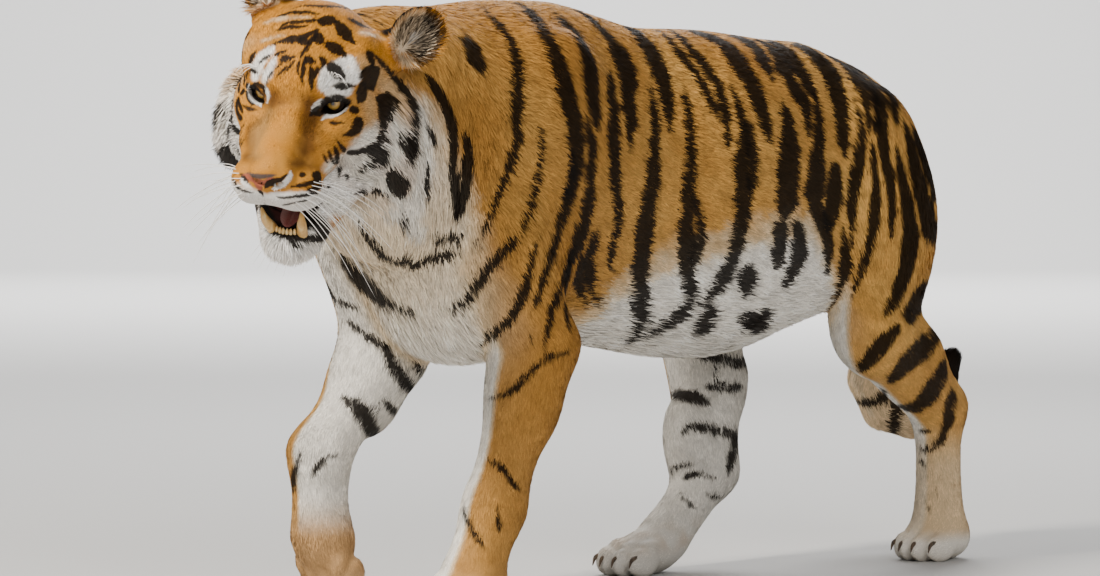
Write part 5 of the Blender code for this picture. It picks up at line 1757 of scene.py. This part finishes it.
def tooth_lines():
    """The lower canines, and the small front teeth between them."""
    jaw = np.array([JAW_SHIFT, 0, 0.0035])
    big, small = [], []
    for side in (1, -1):
        line = [(0.0225, -0.088, -0.197), (0.0235, -0.097, -0.178), (0.0240, -0.104, -0.160),
            (0.0225, -0.101, -0.142)]
        if side < 0:
            line = [(x + 0.0088 * n - 0.0075, y, z - 0.0016 * n) for n,
                (x, y, z) in enumerate(line)]
        line = [on_head_at(np.array((x * side, y, z)) + jaw) for x, y, z in line]
        big.append((line, (0.0092, 0.0090, 0.0072, 0.0016)))
        for n in range(3):
            root = np.array((side * (0.003 + 0.0055 * n), -0.1080 + 0.0010 * n * n, -0.1815)) + jaw
            line = [on_head_at(root), on_head_at(root + (0, -0.001, 0.005)),
                on_head_at(root + (0, 0, 0.010))]
            small.append((line, (0.0027, 0.0027, 0.0014)))
    return big, small


def tooth_material():
    made, nodes, links, shader = material("old_enamel", 0.28, 0.5)
    shader.inputs["Coat Weight"].default_value = 0.4
    shader.inputs["Coat Roughness"].default_value = 0.12
    shader.inputs["Subsurface Weight"].default_value = 0.0
    stain = noise_node(nodes, links, 120, 4.0, (1, 1, 0.35))
    colour = ramp_node(nodes, links, stain, (0.30, (0.50, 0.25, 0.06)), (0.52, (0.70, 0.43, 0.14)),
        (0.70, (0.80, 0.62, 0.32)))
    links.new(colour, shader.inputs["Base Color"])
    bumped(nodes, links, shader, stain, 0.0004, 0.3)
    return made


def tongue_object():
    """A long tongue with a groove down its middle and a raised, rough top."""
    shape = bmesh.new()
    form = on_head(on_jaw(egg((0, -0.050, -0.1700), (0.0240, 0.052, 0.0150), tilt=8)))
    add_form(shape, form, 6)
    thing = object_from("tongue_flesh", shape)
    points = points_of(thing)
    local = on_face(points) - (JAW_SHIFT, 0, 0)
    top = smooth(local[:, 2], -0.172, -0.164)
    groove = np.exp(-((local[:, 0] / 0.0035) ** 2)) * top
    rows = 0.0005 * np.sin(local[:, 1] * 1500) * np.sin(local[:, 0] * 1500) * top
    points = points + (rows - 0.0022 * groove)[:, None] * (HEAD_ROTATION @ np.array([0, 0, 1.0]))
    place_points(thing, points)
    thing.data.shade_smooth()
    return thing


def tongue_material():
    made, nodes, links, shader = material("wet_tongue", 0.36, 0.5)
    shader.inputs["Coat Weight"].default_value = 0.35
    shader.inputs["Coat Roughness"].default_value = 0.18
    rough = noise_node(nodes, links, 700, 3.0)
    colour = ramp_node(nodes, links, rough, (0.30, (0.25, 0.070, 0.065)),
        (0.70, (0.42, 0.14, 0.12)))
    links.new(colour, shader.inputs["Base Color"])
    bumped(nodes, links, shader, rough, 0.0008, 0.6)
    return made


def claw_material():
    made, nodes, links, shader = material("dark_claw", 0.34, 0.5)
    grain = noise_node(nodes, links, 300, 3.0, (1, 1, 0.2))
    colour = ramp_node(nodes, links, grain, (0.30, (0.035, 0.025, 0.018)),
        (0.75, (0.16, 0.11, 0.07)))
    links.new(colour, shader.inputs["Base Color"])
    bumped(nodes, links, shader, grain, 0.0003, 0.4)
    return made


def whisker_material():
    made, nodes, links, shader = material("white_whisker", 0.35, 0.4)
    tone = noise_node(nodes, links, 60, 2.0)
    colour = ramp_node(nodes, links, tone, (0.3, (0.78, 0.75, 0.70)), (0.7, (0.92, 0.90, 0.86)))
    links.new(colour, shader.inputs["Base Color"])
    return made


def rooted_at(place):
    """The place on the skin nearest a place in the head's axes, a little under its surface."""
    found, normal, _, _ = SKIN_TREE.find_nearest(Vector(on_head_at(place)))
    return np.array(found - normal * 0.001)


def hair_line(place, toward, length, droop):
    """A hair from a place on the face, along `toward` (the animal's axes), then bending down."""
    root = rooted_at(place)
    toward = np.array(toward, float) / np.linalg.norm(toward)
    return [root + toward * length * t + (0, 0, -droop * length * t * t) for t in (0, 0.35, 0.7,
        1.0)]


def whisker_lines():
    draw = np.random.default_rng(3)
    lines = []
    for row in range(4):
        for column in range(5):
            x = 0.038 + 0.0065 * column
            y, z = -0.138 + 0.011 * column, -0.084 - 0.0085 * row - 0.001 * column
            length = (0.105, 0.135, 0.150, 0.120, 0.085)[column] * draw.uniform(0.85, 1.1)
            thick = 0.00080 - 0.00005 * column
            down = 0.10 + 0.22 * row + draw.uniform(-0.10, 0.10)
            left = (0.34 - 0.05 * column + draw.uniform(-0.05, 0.05), 0.80, -down)
            lines.append((hair_line((x, y, z), left, length * 0.95, 0.35),
                (thick, thick * 0.85, 0.00020)))
            ahead = -0.40 + 0.14 * column + draw.uniform(-0.08, 0.08)
            right = (-0.80, ahead, 0.16 - 0.28 * row + draw.uniform(-0.10, 0.10))
            lines.append((hair_line((-x, y, z), right, length * 0.80, 0.22),
                (thick, thick * 0.85, 0.00020)))
    for n in range(7):
        fan = n / 6 - 0.5
        near = (0.50 + 0.5 * fan, -0.35 + 0.5 * fan, 0.75 - 0.9 * abs(fan))
        lines.append((hair_line((0.046 + 0.003 * n, -0.02, 0.054), near, 0.040 + 0.004 * (n % 3),
            0.9), (0.0006, 0.0005, 0.0002)))
        far = (-0.6 + 0.5 * fan, -0.5, 0.75 - 0.8 * abs(fan))
        lines.append((hair_line((-0.062 - 0.003 * n, -0.02, 0.050), far, 0.036 + 0.004 * (n % 3),
            0.8), (0.0006, 0.0005, 0.0002)))
    for n in range(9):
        x = JAW_SHIFT + 0.010 * (n - 4)
        lines.append((hair_line((x, -0.110 + 0.0016 * (n - 4) ** 2, -0.206),
            (-0.45 + 0.10 * n, -0.45,
                -0.75), 0.030 + 0.004 * (n % 3), 0.1), (0.0005, 0.0004, 0.0002)))
    return lines


# ---------------------------------------------------------------- making
SKIN = skin_object()
SKIN.data.shade_smooth()


def unwrapped(thing):
    """Its own unwrap, in the map that the coat's tufts share."""
    thing.data.uv_layers.new(name="OFBake")
    bpy.context.view_layer.objects.active = thing
    thing.select_set(True)
    bpy.ops.object.mode_set(mode="EDIT")
    bpy.ops.mesh.select_all(action="SELECT")
    bpy.ops.uv.smart_project(angle_limit=math.radians(66), island_margin=0.002)
    bpy.ops.object.mode_set(mode="OBJECT")
    thing.select_set(False)


unwrapped(SKIN)
SKIN_POINTS = points_of(SKIN)
SKIN_TREE = BVHTree.FromPolygons(SKIN_POINTS.tolist(),
    [tuple(face.vertices) for face in SKIN.data.polygons])
STROKES = coloured_strokes()
LEATHER = inked(from_lists("portrait", NOSE_PINKS + NOSTRIL_SHADOWS[:2] + LID_BLACKS), BLACK)
skin_colours = coat_colours(SKIN_POINTS, part_shares(SKIN_POINTS)) * 0.85
paint = SKIN.data.color_attributes.new("coat", "FLOAT_COLOR", "POINT")
paint.data.foreach_set("color", np.column_stack([skin_colours, np.ones(len(skin_colours))]).ravel())
COAT = coat_objects()
SKIN.data.materials.append(skin_material())
hair = coat_material()
for piece in COAT.values():
    piece.data.materials.append(hair)

# ---------------------------------------------------------------- place in the frame
EYE_LOW, EYE_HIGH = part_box("eye_left")
SHIFT = (EYE_LOW + EYE_HIGH) / 2 - Vector(HEAD_ROTATION @ EYE_AT + np.array(HEAD_AT))


def settle_in(thing, slot, *nodes):
    """A finished piece moved to the solid's place, riding its body, in place of its nodes."""
    thing.data.transform(Matrix.Translation(SHIFT))
    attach(thing, "root")
    if nodes:
        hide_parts(*nodes)


def given(thing, finish):
    thing.data.materials.clear()
    thing.data.materials.append(finish)
    return thing


FLESH = [n for n in frame["nodes"] if not n.startswith(("eye_", "claw_", "canine_", "tongue"))]
settle_in(SKIN, "trunk", *FLESH)
for piece in COAT.values():
    settle_in(piece, "trunk")

eyes = eye_material()
for word, side in (("left", 1), ("right", -1)):
    settle_in(given(eye_object("eyeball_" + word, side), eyes), "eye_" + word, "eye_" + word)
canine_lines, incisor_lines = tooth_lines()
enamel = tooth_material()
canines = given(tapered_object("canine_teeth", canine_lines, 16, 0.0015), enamel)
settle_in(canines, "canine_left", "canine_left", "canine_right")
settle_in(given(tapered_object("front_teeth", incisor_lines, 8, 0.0012), enamel), "canine_left")
settle_in(given(tongue_object(), tongue_material()), "tongue", "tongue")
CLAW_NODES = [n for n in frame["nodes"] if n.startswith("claw_")]
claw_lines = [(line, (CLAW_RADIUS, CLAW_RADIUS * 0.85, 0.0006)) for _, _,
    lines in PAWS.values() for line in lines]
claws = given(tapered_object("claws", claw_lines, 12, 0.0012), claw_material())
settle_in(claws, CLAW_NODES[0], *CLAW_NODES)
settle_in(given(tapered_object("whiskers", whisker_lines(), 5, 0.006), whisker_material()), "trunk")


# ---------------------------------------------------------------- studio
def area_light(name, place, aim, size, power, colour):
    lamp = bpy.data.lights.new(name, "AREA")
    lamp.shape = "RECTANGLE"
    lamp.size, lamp.size_y = size
    lamp.energy = power
    lamp.color = colour
    thing = bpy.data.objects.new(name, lamp)
    bpy.context.scene.collection.objects.link(thing)
    thing.location = place
    thing.rotation_mode = "QUATERNION"
    thing.rotation_quaternion = (Vector(aim) - Vector(place)).to_track_quat("-Z", "Y")
    return thing


def sweep_object():
    """A pale studio floor that curves up into a wall far behind the animal for the camera."""
    shape = bmesh.new()
    bmesh.ops.create_grid(shape, x_segments=2, y_segments=160, size=1.0)
    thing = object_from("floor", shape)
    points = points_of(thing)
    across, run = points[:, 0] * SWEEP_WIDTH, points[:, 1] * SWEEP_LENGTH
    angle = np.clip((run - SWEEP_AT) / SWEEP_RADIUS, 0, math.pi / 2)
    wall = np.maximum(run - SWEEP_AT - SWEEP_RADIUS * math.pi / 2, 0)
    along = np.minimum(run, SWEEP_AT) + SWEEP_RADIUS * np.sin(angle)
    height = SWEEP_RADIUS * (1 - np.cos(angle)) + wall
    ahead = np.array([-0.674, 0.738, 0])
    beside = np.array([0.738, 0.674, 0])
    place_points(thing, along[:, None] * ahead + across[:, None] * beside + height[:,
        None] * np.array([0, 0, 1]))
    thing.data.shade_smooth()
    return thing


SWEEP_WIDTH, SWEEP_LENGTH, SWEEP_AT, SWEEP_RADIUS = 28.0, 32.0, 20.0, 5.0
FLOOR_COLOUR, FLOOR_ROUGHNESS = (0.50, 0.495, 0.485, 1), 0.9
SKY_COLOUR, SKY_STRENGTH = (0.93, 0.95, 1.0, 1), 0.24
LENS, SENSOR = 142.2, 36.0  # millimetres
CAMERA_PLACE, CAMERA_LOOKS = (4.8813, -5.5438, 0.7340), (-0.67368, 0.73837, -0.03099)
FLOOR = sweep_object()
pale = bpy.data.materials.new("pale_floor")
pale.use_nodes = True
pale.node_tree.nodes["Principled BSDF"].inputs["Base Color"].default_value = FLOOR_COLOUR
pale.node_tree.nodes["Principled BSDF"].inputs["Roughness"].default_value = FLOOR_ROUGHNESS
FLOOR.data.materials.append(pale)

world = bpy.data.worlds.new("studio")
bpy.context.scene.world = world
world.use_nodes = True
world.node_tree.nodes["Background"].inputs["Color"].default_value = SKY_COLOUR
world.node_tree.nodes["Background"].inputs["Strength"].default_value = SKY_STRENGTH
# Each light: name, place, what it points at, size, watts, colour, whether wet surfaces mirror it.
LIGHTS = (
    ("key", (-0.6, -5.8, 5.0), (0, -0.4, 0.6), (1.2, 1.2), 820, (1.0, 0.94, 0.85), True),
    ("fill", (5.0, -2.6, 3.4), (0, 0.1, 0.6), (2.5, 2.5), 175, (1.0, 0.97, 0.93), False),
    ("back", (-2.5, 3.8, 3.8), (0, 0.0, 0.8), (2.4, 2.0), 150, (1, 1, 1), True),
    ("wall", (-9.5, 10.5, 9.0), (-15.8, 17.3, 1.5), (12.0, 4.0), 4200, (1, 1, 1), True),
    ("far_floor", (-6.5, 7.2, 7.0), (-6.5, 7.2, 0.0), (9.0, 9.0), 1500, (1, 1, 1), False),
)
for *light, mirrored in LIGHTS:
    area_light(*light).visible_glossy = mirrored

camera = bpy.data.cameras.new("camera")
camera.lens = LENS
camera.sensor_width = SENSOR
CAMERA = bpy.data.objects.new("camera", camera)
bpy.context.scene.collection.objects.link(CAMERA)
CAMERA.location = Vector(CAMERA_PLACE) + SHIFT
CAMERA.rotation_mode = "QUATERNION"
CAMERA.rotation_quaternion = Vector(CAMERA_LOOKS).to_track_quat("-Z", "Y")
bpy.context.scene.camera = CAMERA
